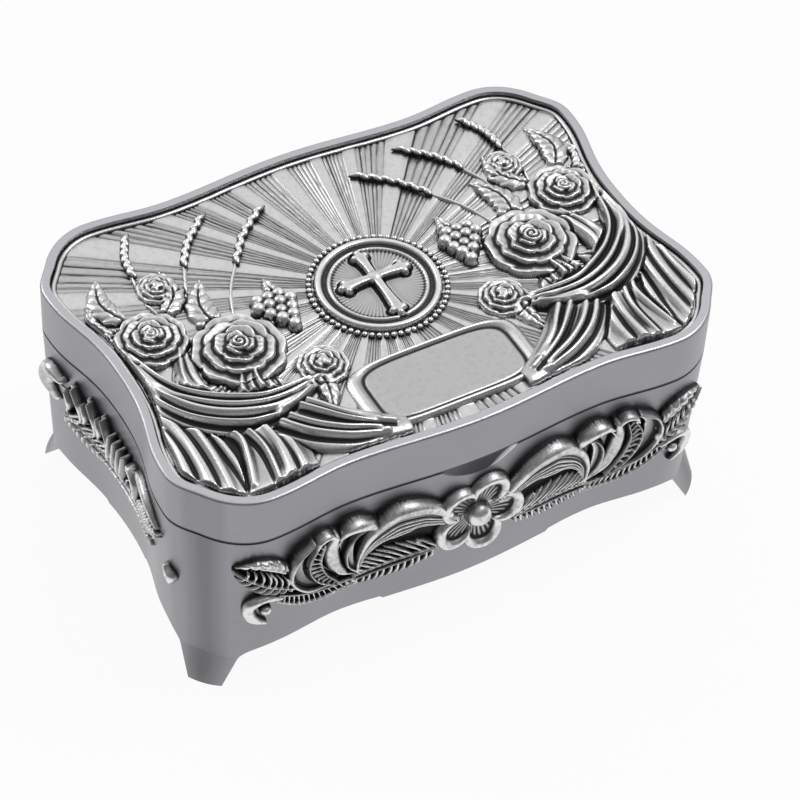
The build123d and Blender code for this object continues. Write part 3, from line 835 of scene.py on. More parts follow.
class ROSARYBOX_OT_stage(bpy.types.Operator):
    """Adds the floor, the studio lamps and the camera"""
    bl_idname = "rosarybox.stage"
    bl_label = "Stage"

    def execute(self, context):
        scene = context.scene
        floor = bpy.data.meshes.new("floor")
        floor.from_pydata([(-3, -3, 0), (3, -3, 0), (3, 3, 0), (-3, 3, 0)], [], [(0, 1, 2, 3)])
        stand = placed("floor", floor)
        material, nodes, paper = shader("white_paper")
        nodes.set(paper, Base_Color=(0.8, 0.8, 0.8, 1), Roughness=0.9, Specular_IOR_Level=0.1)
        ray = nodes.add("ShaderNodeLightPath").outputs
        seen = nodes.math("MAXIMUM", ray["Is Camera Ray"], ray["Is Glossy Ray"])
        seen = nodes.math("MAXIMUM", seen, ray["Is Transmission Ray"])
        white = nodes.add("ShaderNodeEmission", (1, 1, 1, 1), 1.0)
        both = nodes.add("ShaderNodeMixShader", nodes.times(seen, 0.94), paper, white)
        nodes.set(material.node_tree.nodes["Material Output"], Surface=both)
        dress(stand, material)

        world = bpy.data.worlds.new("studio")
        world.use_nodes = True
        scene.world = world
        sky = Nodes(world.node_tree)
        backdrop = world.node_tree.nodes["Background"]
        seen = sky.add("ShaderNodeLightPath").outputs["Is Camera Ray"]
        towards = sky.add("ShaderNodeVectorMath", sky.add("ShaderNodeTexCoord").outputs["Generated"],
                          (0.36, 0.56, 0.75), operation="DOT_PRODUCT").outputs["Value"]
        glow = sky.spread(towards, 0.1, 0.95, 0.22, 1.0)
        sky.set(backdrop, Color=(1, 1, 1, 1), Strength=sky.math("MAXIMUM", glow, seen))

        lamps = (
            ("key_lamp", (0.36, -0.10, 0.62), 0.34, 1.5),
            ("back_lamp", (-0.30, 0.50, 0.42), 0.34, 0.8),
        )
        for name, place, size, power in lamps:
            lamp = bpy.data.lights.new(name, "AREA")
            lamp.shape = "DISK"
            lamp.size = size
            lamp.energy = power
            holder = placed(name, lamp)
            holder.location = place
            holder.rotation_mode = "QUATERNION"
            holder.rotation_quaternion = (Vector(place) - Vector((0, 0, 0.02))).to_track_quat("Z", "Y")

        lens = bpy.data.cameras.new("camera")
        lens.sensor_width = 36
        lens.lens = 143.96
        lens.clip_start, lens.clip_end = 0.01, 10
        right, up = (0.87157, -0.48860, 0.04058), (0.33385, 0.65206, 0.68071)
        back = (-0.35905, -0.57973, 0.73143)
        turned = Matrix((right, up, back)).transposed().to_4x4()
        scene.camera = placed("camera", lens)
        scene.camera.matrix_world = Matrix.Translation((-0.153037, -0.254212, 0.331363)) @ turned
        scene.view_settings.view_transform = "Standard"
        return {"FINISHED"}


# ------------------------------------------------------------------ castings

class ROSARYBOX_OT_castings(bpy.types.Operator):
    """Finishes the plain castings: the lid, the base, the feet and the hinge pins"""
    bl_idname = "rosarybox.castings"
    bl_label = "Castings"

    def execute(self, context):
        finish = context.scene.rosary_finish
        nodes = frame["nodes"]
        wall = brushed_pewter("satin_pewter_base", finish.wall_colour, finish.roughness, streak=0.1)
        # rim=1.5 paints the lid's flat rim top brighter, as painted light.
        lid = brushed_pewter("satin_pewter_lid", finish.lid_colour, finish.roughness, streak=0.09, rim=1.5)
        foot = brushed_pewter("dark_pewter_feet", finish.foot_colour, finish.roughness + 0.06, streak=0.08)
        steel = brushed_pewter("pin_steel", (0.5, 0.5, 0.5), roughness=0.3, streak=0.05)
        dress(nodes["base_shell"], wall)
        dress(nodes["lid_shell"], lid)
        for name, node in nodes.items():
            if name.startswith("foot_"):
                dress(node, foot)
            if name.startswith("hinge_pin"):
                dress(node, steel)
        return {"FINISHED"}


# ------------------------------------------------------------------ ornament of the walls

def lay_spray_tail(relief):
    """Stem band, volute, shells, beaded leaf and feather leaf: the outer half of a spray."""
    stroke, feather, ladder = relief.stroke, relief.feather, relief.ladder
    stroke([(17.6, 14.6), (22.6, 17.0), (28.0, 18.8), (32.6, 21.0)], (2.4, 4.4, 3.6, 1.2), 0.0, 0.3)
    stroke([(27.4, 19.6), (29.4, 22.2), (32.0, 23.5), (34.3, 23.0)], (0.5, 0.95, 0.75, 0.15), 0.15,
           (0.7, 1.05, 0.95, 0.5), barbs=7, barb_lean=0.7, barb_depth=0.22, teeth=0.12)
    feather([(27.0, 16.6), (30.6, 18.9), (34.5, 22.4)], 8, ((2.8, 3.2, 2.4, 0.6), (0.6, 2.2, 2.0, 0.6)),
            0.78, 0.15, 0.9, 0.25)
    ladder([(17.4, 11.3), (21.6, 11.4), (25.6, 12.9), (29.2, 15.4)], (0.7, 1.05, 1.05, 0.7), 15, 0.2, 0.85)
    stroke([(28.6, 15.0), (30.9, 16.2), (32.7, 15.0), (32.6, 12.4), (30.7, 10.8)],
           (0.35, 0.7, 0.8, 0.8, 0.3), 0.2, (0.8, 1.15, 1.3, 1.1, 0.7))
    relief.ball((30.7, 13.4), 0.85, 0.2, 1.0)
    stroke([(21.4, 12.9), (25.4, 15.0), (27.7, 18.6), (27.0, 22.2), (24.4, 24.0)],
           (0.3, 1.9, 2.5, 2.2, 0.7), 0.25, (0.8, 1.4, 1.6, 1.7, 1.5), shape=shell, other=0.34)
    stroke([(18.8, 13.6), (20.8, 17.0), (21.5, 20.6), (21.2, 23.4)], (0.4, 1.1, 1.2, 0.7), 0.35,
           (0.6, 1.3, 1.5, 1.6))
    ladder([(20.4, 13.0), (23.0, 16.0), (24.2, 19.6), (23.2, 23.0)], (0.35, 0.9, 1.05, 0.6), 11, 0.6, 1.1,
           lean=-0.4)
    stroke([(21.0, 23.0), (22.2, 24.1), (23.6, 23.9), (24.2, 22.9)], (0.4, 0.6, 0.55, 0.25), 0.7, 1.2)


def lay_spray_head(relief):
    """Big ribbed plume, feather leaves and tulip: the inner half of a spray."""
    stroke, feather = relief.stroke, relief.feather
    stroke([(4.6, 16.0), (10.4, 16.8), (17.0, 14.8)], (3.2, 4.4, 2.4), 0.0, 0.3)
    feather([(5.8, 12.5), (10.0, 11.7), (14.4, 11.3), (18.6, 10.9)], 12,
            ((0.1, 0.1, 0.1, 0.1), (2.0, 2.5, 2.1, 0.8)), 1.02, 0.1, 0.6, 0.24, sides=(-1,))
    feather([(5.4, 13.4), (9.8, 13.3), (14.0, 12.9), (17.8, 12.4)], 10,
            ((3.6, 4.9, 3.8, 0.8), (0.1, 0.1, 0.1, 0.1)), 0.68, 0.15, 0.95, 0.27, sides=(1,))
    stroke([(17.2, 12.6), (20.4, 15.2), (21.5, 19.0), (20.2, 22.4), (17.4, 23.6)],
           (0.3, 1.8, 2.5, 2.2, 0.6), 0.25, (0.6, 1.2, 1.4, 1.5, 1.3), shape=shell, other=0.32)
    stroke([(16.8, 12.8), (18.8, 15.6), (19.2, 18.8), (18.0, 21.2), (16.2, 21.8)],
           (0.3, 1.1, 1.4, 1.1, 0.3), 0.7, (0.4, 0.9, 1.1, 1.1, 0.8), shape=shell, other=0.26)
    stroke([(14.6, 21.4), (16.4, 23.2), (18.8, 23.7), (20.6, 22.6)], (0.6, 1.05, 1.0, 0.4), 0.5,
           (1.1, 1.7, 1.8, 1.3))
    stroke([(4.4, 19.4), (7.8, 22.3), (12.0, 23.2), (15.6, 20.6), (17.2, 16.8), (17.2, 13.0)],
           (0.7, 1.15, 1.3, 0.7, 0.34, 0.25), 0.3, (1.4, 1.7, 1.9, 1.7, 1.4, 1.0), shape=plume,
           other=(2.6, 5.0, 6.2, 5.2, 2.4, 0.3), ribs=13, rib_depth=0.3, rib_limit=-0.22)


def lay_side_garland(relief):
    """A lobe and a scroll at the back, shells and leaves in the middle, a leaf and a drop at the front."""
    stroke, feather, ladder = relief.stroke, relief.feather, relief.ladder
    stroke([(-14.0, 19.6), (-6.0, 18.8), (2.0, 18.2), (9.0, 18.8), (15.0, 21.0)], (1.6, 3.0, 3.0, 2.6, 0.8),
           0.1, 0.3)
    feather([(-13.0, 15.0), (-8.0, 12.6), (-2.0, 12.2)], 11, ((0.1, 0.1, 0.1), (2.0, 2.2, 1.0)), 1.0, 0.1,
            0.55, 0.24, sides=(-1,))
    feather([(2.0, 12.4), (7.0, 12.6), (12.6, 14.6)], 10, ((0.1, 0.1, 0.1), (1.8, 2.0, 0.8)), 1.0, 0.1,
            0.55, 0.24, sides=(-1,))
    ladder([(-12.6, 15.8), (-7.0, 13.6), (0.0, 13.4), (7.0, 14.2), (12.4, 16.6)], (0.6, 1.0, 1.1, 1.0, 0.6),
           18, 0.15, 1.0)
    feather([(-11.5, 17.3), (-4.0, 15.4), (4.5, 15.8)], 12, ((2.6, 3.6, 3.0), (0.1, 0.1, 0.1)), 0.85, 0.3,
            0.9, 0.3, sides=(1,))
    stroke([(-14.4, 18.2), (-16.3, 20.6), (-15.2, 23.6), (-12.8, 23.8)], (0.9, 1.7, 1.7, 0.7), 0.2,
           (1.2, 1.9, 1.9, 1.4))
    for middle, high in ((-10.6, 24.4), (-7.4, 24.2), (-4.2, 23.6)):
        stroke([(middle - 1.6, 15.0), (middle + 1.2, 17.2), (middle + 1.9, 20.2), (middle + 0.2, high)],
               (0.3, 1.3, 1.7, 0.7), 0.3, (0.8, 1.4, 1.6, 1.5), shape=shell, other=0.3)
        stroke([(middle - 1.2, 17.4), (middle - 0.6, 19.6), (middle - 1.4, 22.0)], (0.25, 0.5, 0.25), 0.5,
               (0.8, 1.2, 0.9))
    for middle in (-1.8, -0.4, 1.0, 2.4):
        stroke([(middle - 1.4, 14.6), (middle, 18.6), (middle + 0.3, 22.8)], (0.3, 0.42, 0.3), 0.3,
               (1.0, 1.9, 1.6))
    stroke([(3.4, 15.2), (6.3, 17.4), (6.9, 20.8), (5.2, 23.0), (3.6, 21.4), (4.2, 18.4)],
           (0.25, 0.42, 0.5, 0.5, 0.42, 0.25), 0.3, (0.9, 1.4, 1.6, 1.6, 1.3, 0.9))
    stroke([(5.8, 22.6), (8.2, 24.6), (12.0, 24.8), (15.6, 23.0)], (0.5, 1.1, 0.9, 0.2), 0.15,
           (0.8, 1.2, 1.1, 0.6))
    feather([(7.0, 16.4), (11.4, 19.0), (16.4, 22.6)], 11, ((3.2, 3.6, 2.4, 0.6), (0.6, 2.2, 2.0, 0.6)), 0.72,
            0.15, 0.8, 0.26)
    stroke([(17.9, 17.0), (18.8, 15.6), (18.7, 14.0)], (0.5, 0.9, 0.5), 0.2, (0.9, 1.3, 0.9))
    relief.height = np.where(relief.height > 0, GARLAND_DEPTH * relief.height, relief.height)


def front_place(u, v, out):
    """Puts the sprays' drawing on the front wall."""
    return front_wall(u, ROSETTE_HEIGHT + SPRAY_RISE * (v - SPRAY_MIDDLE), out)


def left_place(u, v, out):
    """Puts the garland's drawing on the left wall."""
    return left_wall(u, GARLAND_HEIGHT + GARLAND_RISE * (v - GARLAND_MIDDLE), out)


def petal(ring, radius):
    """One petal: a thick round rim about a sunk oval with ribs, standing out along +Y of the boss."""
    relief = Relief((-radius - 0.3, ring - radius - 2.6), (radius + 0.3, ring + radius + 0.3), FLOWER_STEP)
    u, v = relief.u, relief.v
    half = np.where(v < ring, radius * np.clip((v - 0.6) / (ring - 0.6), 0, 1) ** 0.6 + 0.01,
                    np.sqrt(np.clip(radius ** 2 - (v - ring) ** 2, 0, None)) + 0.01)
    away = np.where(v > ring, np.hypot(u, v - ring) / radius, np.abs(u) / half)
    middle = ring - 0.2 * radius
    within = np.hypot(u / (0.56 * radius), (v - middle) / np.where(v > middle, 0.62 * radius, 1.1 * radius))
    out, side = np.clip(within - 1, 0, None), np.clip(1 - away, 0, None)
    share = out / (out + 1.5 * side + 1e-6)
    reach = np.clip(v / (ring + radius), 0, 1)
    level = 0.95 + 0.85 * reach
    rim = level * (0.62 + 0.38 * np.sin(math.pi * np.clip(share, 0, 1)) ** 0.8) * shoulder(away, 0.82, 0.18)
    ribs = 0.13 * ridges(2 * math.pi * np.arctan2(u, v + 0.4) / 0.15 + math.pi)
    ribs = ribs * np.clip(1 - within ** 4, 0, 1)
    floor = level * 0.62 - 0.12 - 0.28 * dome(within) + ribs
    top = np.where(within < 1, floor, rim)
    relief.height = np.where((away < 1) & (v > 0.5), np.maximum(top, 0.02), SUNK)
    return relief


def flower_tree():
    """Geometry Nodes: petals round a middle."""
    tree, nodes, given, sockets = new_tree(
        "petal_ring", ("Petals", "Int"), ("Turn", "Float"), ("Finish", "Material"))
    line = nodes.named("GeometryNodeMeshLine", Count=given["Petals"], Offset=(0, 0, 0))
    step = nodes.math("DIVIDE", 2 * math.pi, given["Petals"])
    angle = nodes.math("ADD", nodes.times(nodes.add("GeometryNodeInputIndex"), step), given["Turn"])
    ring = nodes.named("GeometryNodeInstanceOnPoints", Points=line, Instance=given["Geometry"],
                       Rotation=nodes.add("ShaderNodeCombineXYZ", 0.0, 0.0, angle))
    coated(nodes, ring, given)
    return tree, sockets


def boss(radius, rise):
    """The domed middle of the flower."""
    relief = Relief((-radius - 0.3, -radius - 0.3), (radius + 0.3, radius + 0.3), FLOWER_STEP)
    away = np.hypot(relief.u, relief.v)
    relief.height = np.where(away < radius, 0.6 + (rise - 0.6) * dome(np.clip(away / radius, 0, 1)), SUNK)
    return relief


class ROSARYBOX_OT_rosettes(bpy.types.Operator):
    """Adds the five-petalled flowers of the front and back walls"""
    bl_idname = "rosarybox.rosettes"
    bl_label = "Rosettes"

    def execute(self, context):
        sizes = context.scene.rosary_rosette
        metal = ornament_pewter("ornament_pewter_flower", context.scene.rosary_finish)
        flat = lambda u, v, out: np.stack([u, v, out], -1)
        flower = solid("front_flower", petal(sizes.ring / MM, sizes.petal / MM), flat, SHOWN)
        tree, sockets = flower_tree()
        grown(flower, tree, sockets, Petals=sizes.petals, Turn=sizes.turn - math.pi / 2, Finish=metal)
        middle = solid("front_flower_boss", boss(radius=1.9, rise=2.5), flat, SHOWN)
        upright = Matrix.Rotation(math.pi / 2, 4, "X")
        wall = front_wall(np.array([0.0]), np.array([ROSETTE_HEIGHT]), np.array([0.0]))[0]
        place = Matrix.Translation(Vector(wall) * MM) @ upright
        for piece in (flower, middle):
            piece.data.transform(place)
        join(flower, middle)
        dress(flower, metal)
        back = mirrored(flower, "back_flower", HALF_TURN)
        for piece, node in ((flower, "front_rosette"), (back, "back_rosette")):
            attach(piece, "base")
            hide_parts(node)
        return {"FINISHED"}


class ROSARYBOX_OT_sprays(bpy.types.Operator):
    """Adds the leaf sprays beside the rosettes and the garlands of the short walls"""
    bl_idname = "rosarybox.sprays"
    bl_label = "Sprays and garlands"

    def execute(self, context):
        metal = ornament_pewter("ornament_pewter_leaf", context.scene.rosary_finish)
        relief = Relief((3.0, 7.6), (36.4, 25.0), WALL_STEP)
        # Patina and painted shade on the sprays' low ground and steep sides.
        relief.ground_patina_and_shade, relief.side_patina_and_shade = 0.7, 0.34
        lay_spray_head(relief)
        lay_spray_tail(relief)
        right = solid("front_leaves_right", relief, front_place, SHOWN)
        left = mirrored(right, "front_leaves_left", FLIP_X)
        back_left = mirrored(right, "back_leaves_left", HALF_TURN)
        back_right = mirrored(back_left, "back_leaves_right", FLIP_X)
        garland = Relief((-20.4, 8.6), (20.4, 26.4), WALL_STEP)
        # Patina and painted shade on the garland's low ground, and lighter patina in its hollows.
        garland.ground_patina_and_shade, garland.dark_hollows = 0.1, 0.45
        lay_side_garland(garland)
        left_garland = solid("left_garland", garland, left_place, SHOWN)
        right_garland = mirrored(left_garland, "right_garland", HALF_TURN)
        nodes = {
            "front_spray_right": right, "front_spray_left": left,
            "back_spray_left": back_left, "back_spray_right": back_right,
            "side_garland_left": left_garland, "side_garland_right": right_garland,
        }
        for node, piece in nodes.items():
            dress(piece, metal)
            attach(piece, "base")
            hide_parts(node)
        return {"FINISHED"}


# ------------------------------------------------------------------ relief of the lid

def lid_place(u, v, out):
    """Puts a drawing on the lid's plaque."""
    return np.stack([u, v, SUNBURST_LEVEL + out], -1)


def sunburst_plate(turns, rings):
    """A closed plate on the plaque's outline, meshed along its rays, for the sunburst tree to raise."""
    turn = np.arange(turns) / turns
    at = (turn * len(RIM)).astype(int)
    edge = RIM[at] - RIM_NORMALS[at] * PLAQUE_INSET
    share = np.linspace(0.12, 1, rings)
    upper = (edge[None] * share[:, None, None]).reshape(-1, 2)
    height = np.full(len(upper), SUNBURST_LEVEL)
    points = np.concatenate([
        np.column_stack([upper, height]),
        np.column_stack([edge, np.full(turns, PLAQUE_UNDERSIDE)]),
        [[0, 0, SUNBURST_LEVEL], [0, 0, PLAQUE_UNDERSIDE]],
    ])
    k = np.arange(turns)
    following = (k + 1) % turns
    faces = []
    for ring in range(rings):
        low, high = ring * turns, (ring + 1) * turns
        faces += np.stack([low + k, high + k, high + following, low + following], 1).tolist()
    top, bottom, last = len(points) - 2, len(points) - 1, rings * turns
    faces += [[top, a, b] for a, b in zip(k.tolist(), following.tolist())]
    faces += [[bottom, last + b, last + a] for a, b in zip(k.tolist(), following.tolist())]
    return built(
        "sunburst_plate", points, faces,
        turn=np.concatenate([np.tile(turn, rings), turn, [0, 0]]),
        reach=np.concatenate([np.linalg.norm(upper, axis=1), np.linalg.norm(edge, axis=1), [0, 0]]),
        carved=np.concatenate([np.repeat((share < 0.999).astype(float), turns), np.zeros(turns), [1, 0]]))


def sunburst_tree():
    """Geometry Nodes: broad rays that alternate with bundles of fine, broken lines."""
    tree, nodes, given, sockets = new_tree(
        "sunburst", ("Rays", "Int"), ("Lines", "Int"), ("Broad Share", "Float"), ("Relief", "Float"),
        ("Seed", "Float"), ("Finish", "Material"))
    m, times, minus = nodes.math, nodes.times, nodes.minus
    turn, reach, carved = (nodes.attribute(label) for label in ("turn", "reach", "carved"))
    full = times(turn, 2 * math.pi)
    sway = m("ADD", times(m("SINE", m("MULTIPLY_ADD", full, 3.0, 0.9)), 0.22),
             times(m("SINE", m("MULTIPLY_ADD", full, 8.0, 2.1)), 0.16))
    place = m("ADD", times(turn, given["Rays"]), sway)
    within, share = m("FRACT", place), given["Broad Share"]
    middle = m("DIVIDE", share, 2.0)
    off = m("ABSOLUTE", minus(within, middle))
    broad = nodes.spread(off, m("ADD", middle, 0.025), minus(middle, 0.025))
    crown = minus(1.0, m("POWER", m("DIVIDE", off, m("ADD", middle, 0.001)), 2.0))
    count = times(m("DIVIDE", minus(within, share), minus(1.0, share)), given["Lines"])
    ridge = m("POWER", m("ABSOLUTE", m("SINE", times(count, math.pi))), 0.45)
    name = m("FLOOR", m("ADD", count, times(m("FLOOR", place), 17.0)))
    where = nodes.add("ShaderNodeCombineXYZ", times(name, 3.7), times(reach, 0.32), given["Seed"])
    broken = nodes.spread(nodes.noise(where, 1.0, 1.0, 0.5), 0.36, 0.46)
    lines = times(ridge, m("MULTIPLY_ADD", broken, 0.3, 0.7))
    fine = times(minus(1.0, broad), m("MULTIPLY_ADD", lines, 0.95, -0.6))
    high = m("ADD", fine, times(broad, m("MULTIPLY_ADD", crown, 0.35, 0.45)))
    rise = nodes.add("ShaderNodeCombineXYZ", 0.0, 0.0, times(times(high, given["Relief"]), carved))
    raised = nodes.named("GeometryNodeSetPosition", Geometry=given["Geometry"], Offset=rise)
    hollow = nodes.keep(raised, "hollow", nodes.spread(times(high, carved), -0.05, -0.6))
    coated(nodes, nodes.keep(hollow, "crest", nodes.spread(high, 0.1, 0.7, 0.0, 0.5)), given)
    return tree, sockets


def strung_tree():
    """Geometry Nodes: pieces strung along a path, turned with it and leaning to alternate sides."""
    tree, nodes, given, sockets = new_tree(
        "strung", ("Piece", "Object"), ("Count", "Int"), ("Lean", "Float"), ("Aside", "Float"),
        ("Finish", "Material"))
    m, times = nodes.math, nodes.times
    curve = nodes.add("GeometryNodeMeshToCurve", given["Geometry"])
    line = nodes.named("GeometryNodeResampleCurve", Curve=curve, Count=given["Count"])
    x, y, _ = nodes.add("ShaderNodeSeparateXYZ", nodes.add("GeometryNodeInputTangent")).outputs
    side = nodes.minus(times(m("MODULO", nodes.add("GeometryNodeInputIndex"), 2.0), 2.0), 1.0)
    aside = times(side, given["Aside"])
    offset = nodes.add("ShaderNodeCombineXYZ", times(times(y, -1.0), aside), times(x, aside), 0.0)
    kept = nodes.keep(line, "heading", m("ADD", m("ARCTAN2", y, x), times(side, given["Lean"])))
    points = nodes.add("GeometryNodeCurveToPoints", kept, mode="EVALUATED")
    row = nodes.named(
        "GeometryNodeInstanceOnPoints",
        Points=nodes.named("GeometryNodeSetPosition", Geometry=points, Offset=offset),
        Instance=nodes.named("GeometryNodeObjectInfo", Object=given["Piece"]).outputs["Geometry"],
        Rotation=nodes.add("ShaderNodeCombineXYZ", 0.0, 0.0, nodes.attribute("heading")))
    coated(nodes, row, given)
    return tree, sockets


def drop(name, long, wide, high, tip=0.0):
    """A small closed grain or bead that lies along +X, dark round its foot."""
    made = bmesh.new()
    bmesh.ops.create_uvsphere(made, u_segments=12, v_segments=8, radius=1)
    for vertex in made.verts:
        narrow = 1 - tip * max(vertex.co.x, 0)
        x, y, z = vertex.co
        vertex.co = Vector((x * long, y * wide * narrow, z * high * narrow)) * MM
    mesh = poured(bpy.data.meshes.new(name), made)
    level = corners(mesh)[:, 2] / (high * MM)
    store(mesh, hollow=np.clip(0.7 - 1.2 * level, 0, 1), crest=np.clip(level, 0, 1))
    mesh.shade_smooth()
    return bpy.data.objects.new(name, mesh)


def strung(name, path, piece, material, count, lean=0.0, aside=0.0, closed=False):
    """A row of pieces along a path of (x, y, z) points. Each leans to its side and stands aside from it."""
    edges = [(k, k + 1) for k in range(len(path) - 1)] + ([(len(path) - 1, 0)] if closed else [])
    mesh = bpy.data.meshes.new(name)
    mesh.from_pydata((np.array(path) * MM).tolist(), edges, [])
    return grown(placed(name, mesh), *strung_tree(), Piece=piece, Count=count, Lean=lean, Aside=aside * MM,
                 Finish=material)


def lay_garland(relief):
    """The right-hand group: cloth that falls in folds, roses, leaves, grapes and stalks."""
    cloth, stroke, rose = relief.cloth, relief.stroke, relief.rose
    cloth([(34.4, 8.0), (36.4, -2.0), (34.0, -13.0), (35.0, -26.0)], (0.8, 2.8, 4.0, 5.0), 0.0,
          (0.6, 0.9, 1.0, 0.9), 4, 3)
    cloth([(28.4, 1.0), (30.6, -8.0), (26.2, -17.0), (27.0, -28.0)], (1.0, 3.0, 4.4, 5.4), 0.2,
          (0.8, 1.3, 1.5, 1.3), 4, 5)
    cloth([(21.4, -4.0), (23.0, -12.0), (18.0, -19.4), (9.4, -23.4)], (1.0, 3.4, 4.0, 1.6), 0.4,
          (0.8, 1.4, 1.5, 0.9), 4, 8)
    cloth([(35.4, 4.0), (33.4, -7.4), (25.0, -13.4), (14.6, -11.4)], (0.5, 2.8, 3.4, 0.7), 0.7,
          (0.6, 1.1, 1.3, 0.7), 4, 12)
    for path in (((20.0, 2.0), (17.6, 8.0), (13.6, 13.6)), ((24.0, 4.0), (23.0, 10.0), (20.4, 16.0)),
                 ((28.0, 8.0), (28.6, 12.0), (27.8, 17.0))):
        stroke(path, 0.32, 0.0, 0.55)
    vine = dict(shape=dome, barbs=7, barb_lean=0.45, barb_depth=0.14, midrib=-0.3, teeth=0.16)
    for half, path in (
            (2.0, ((22.0, 1.0), (22.8, 6.5), (20.4, 11.6))), (1.8, ((17.4, -0.5), (13.6, 3.0), (13.0, 8.0))),
            (1.9, ((32.0, 8.0), (34.2, 12.4), (32.6, 17.6))), (1.2, ((34.0, 5.0), (36.4, 9.0), (36.0, 13.2))),
            (1.6, ((28.4, 6.8), (24.8, 10.2), (24.6, 15.4))),
            (1.4, ((34.2, 1.0), (36.0, -4.0), (34.6, -9.0))),
            (2.0, ((26.0, -6.8), (30.0, -10.4), (31.6, -15.6))),
            (1.9, ((19.8, -8.0), (20.6, -13.0), (24.0, -16.8))),
            (1.7, ((16.0, -7.4), (14.6, -12.4), (15.8, -17.4)))):
        stroke(path, (0.25, half, half * 0.8, 0.12), 0.25, (0.5, 0.95, 0.9, 0.6), **vine)
    for row, berries in enumerate((1, 2, 3, 4, 3)):
        for k in range(berries):
            centre = (13.2 + (k - (berries - 1) / 2) * 1.55 + row * 0.25, -1.6 + row * 1.42)
            relief.ball(centre, 1.0, 0.7 + 0.15 * (row % 2), 1.05)
    rose((13.4, -9.6), 3.5, 0.7, 0.3, 1.15)
    rose((30.9, 4.2), 4.9, 0.2, 0.3, 1.35)
    rose((21.8, -2.6), 6.3, 0.5, 0.4, 1.6)
    rose((26.2, 12.4), 2.8, 0.2, 0.3, 0.9)


def lay_tablet(relief):
    """A blank tablet with rounded corners and a moulded edge."""
    u, v = relief.u, relief.v + 17.7
    across, up = np.abs(u) / 12.8, np.abs(v) / 6.0
    q = (across ** 5 + up ** 5) ** 0.2
    away = (q - 1) * 6.0
    frame_line = 0.35 * np.exp(-((away + 0.55) / 0.28) ** 2) - 0.2 * np.exp(-((away + 1.1) / 0.16) ** 2)
    top = (0.55 + 0.12 * (1 - np.clip(across, 0, 1) ** 2)) * shoulder(away, -0.35, 0.35) + frame_line
    relief.height = np.where(away < 0, top, relief.ground)


def lay_medallion(relief, radius):
    """A round medal: a moulded ring, a dished field of fine rays and a cross with budded arms."""
    u, v = relief.u, relief.v
    away = np.hypot(u, v)
    fan = 0.035 * np.cos(np.arctan2(v, u) * 72)
    field = 0.62 + fan * np.clip((away - 1.5) / 2, 0, 1) * (away < radius - 2.2)
    ring = 0.5 * dome(np.clip((away - radius + 0.62) / 0.55, -1, 1)) + 0.32 * dome(
        np.clip((away - radius + 2.1) / 0.3, -1, 1))
    relief.height = np.where(away < radius, field * shoulder(away - radius, -0.5, 0.5) + ring, relief.ground)
    beam = lambda q: shoulder(np.abs(q), 0.45, 0.55)
    centre = np.array((0, 1.05))
    for end in ((0, -5.2), (0, 5.0), (4.0, 1.05), (-4.0, 1.05)):
        relief.stroke([centre, (centre + end) / 2, end], (0.75, 0.72, 1.0), 0.5, 0.95, shape=beam)
    for bud in ((0, -5.6), (0, 5.4), (4.4, 1.05), (-4.4, 1.05)):
        along = (bud - centre) / math.hypot(*(bud - centre))
        aside = np.array((-along[1], along[0]))
        for place in (along * 0.45, aside * 0.75 - along * 0.25, -aside * 0.75 - along * 0.25):
            relief.ball(bud + place, 0.62, 0.5, 0.95)
    relief.ball(centre, 1.15, 0.9, 0.75)


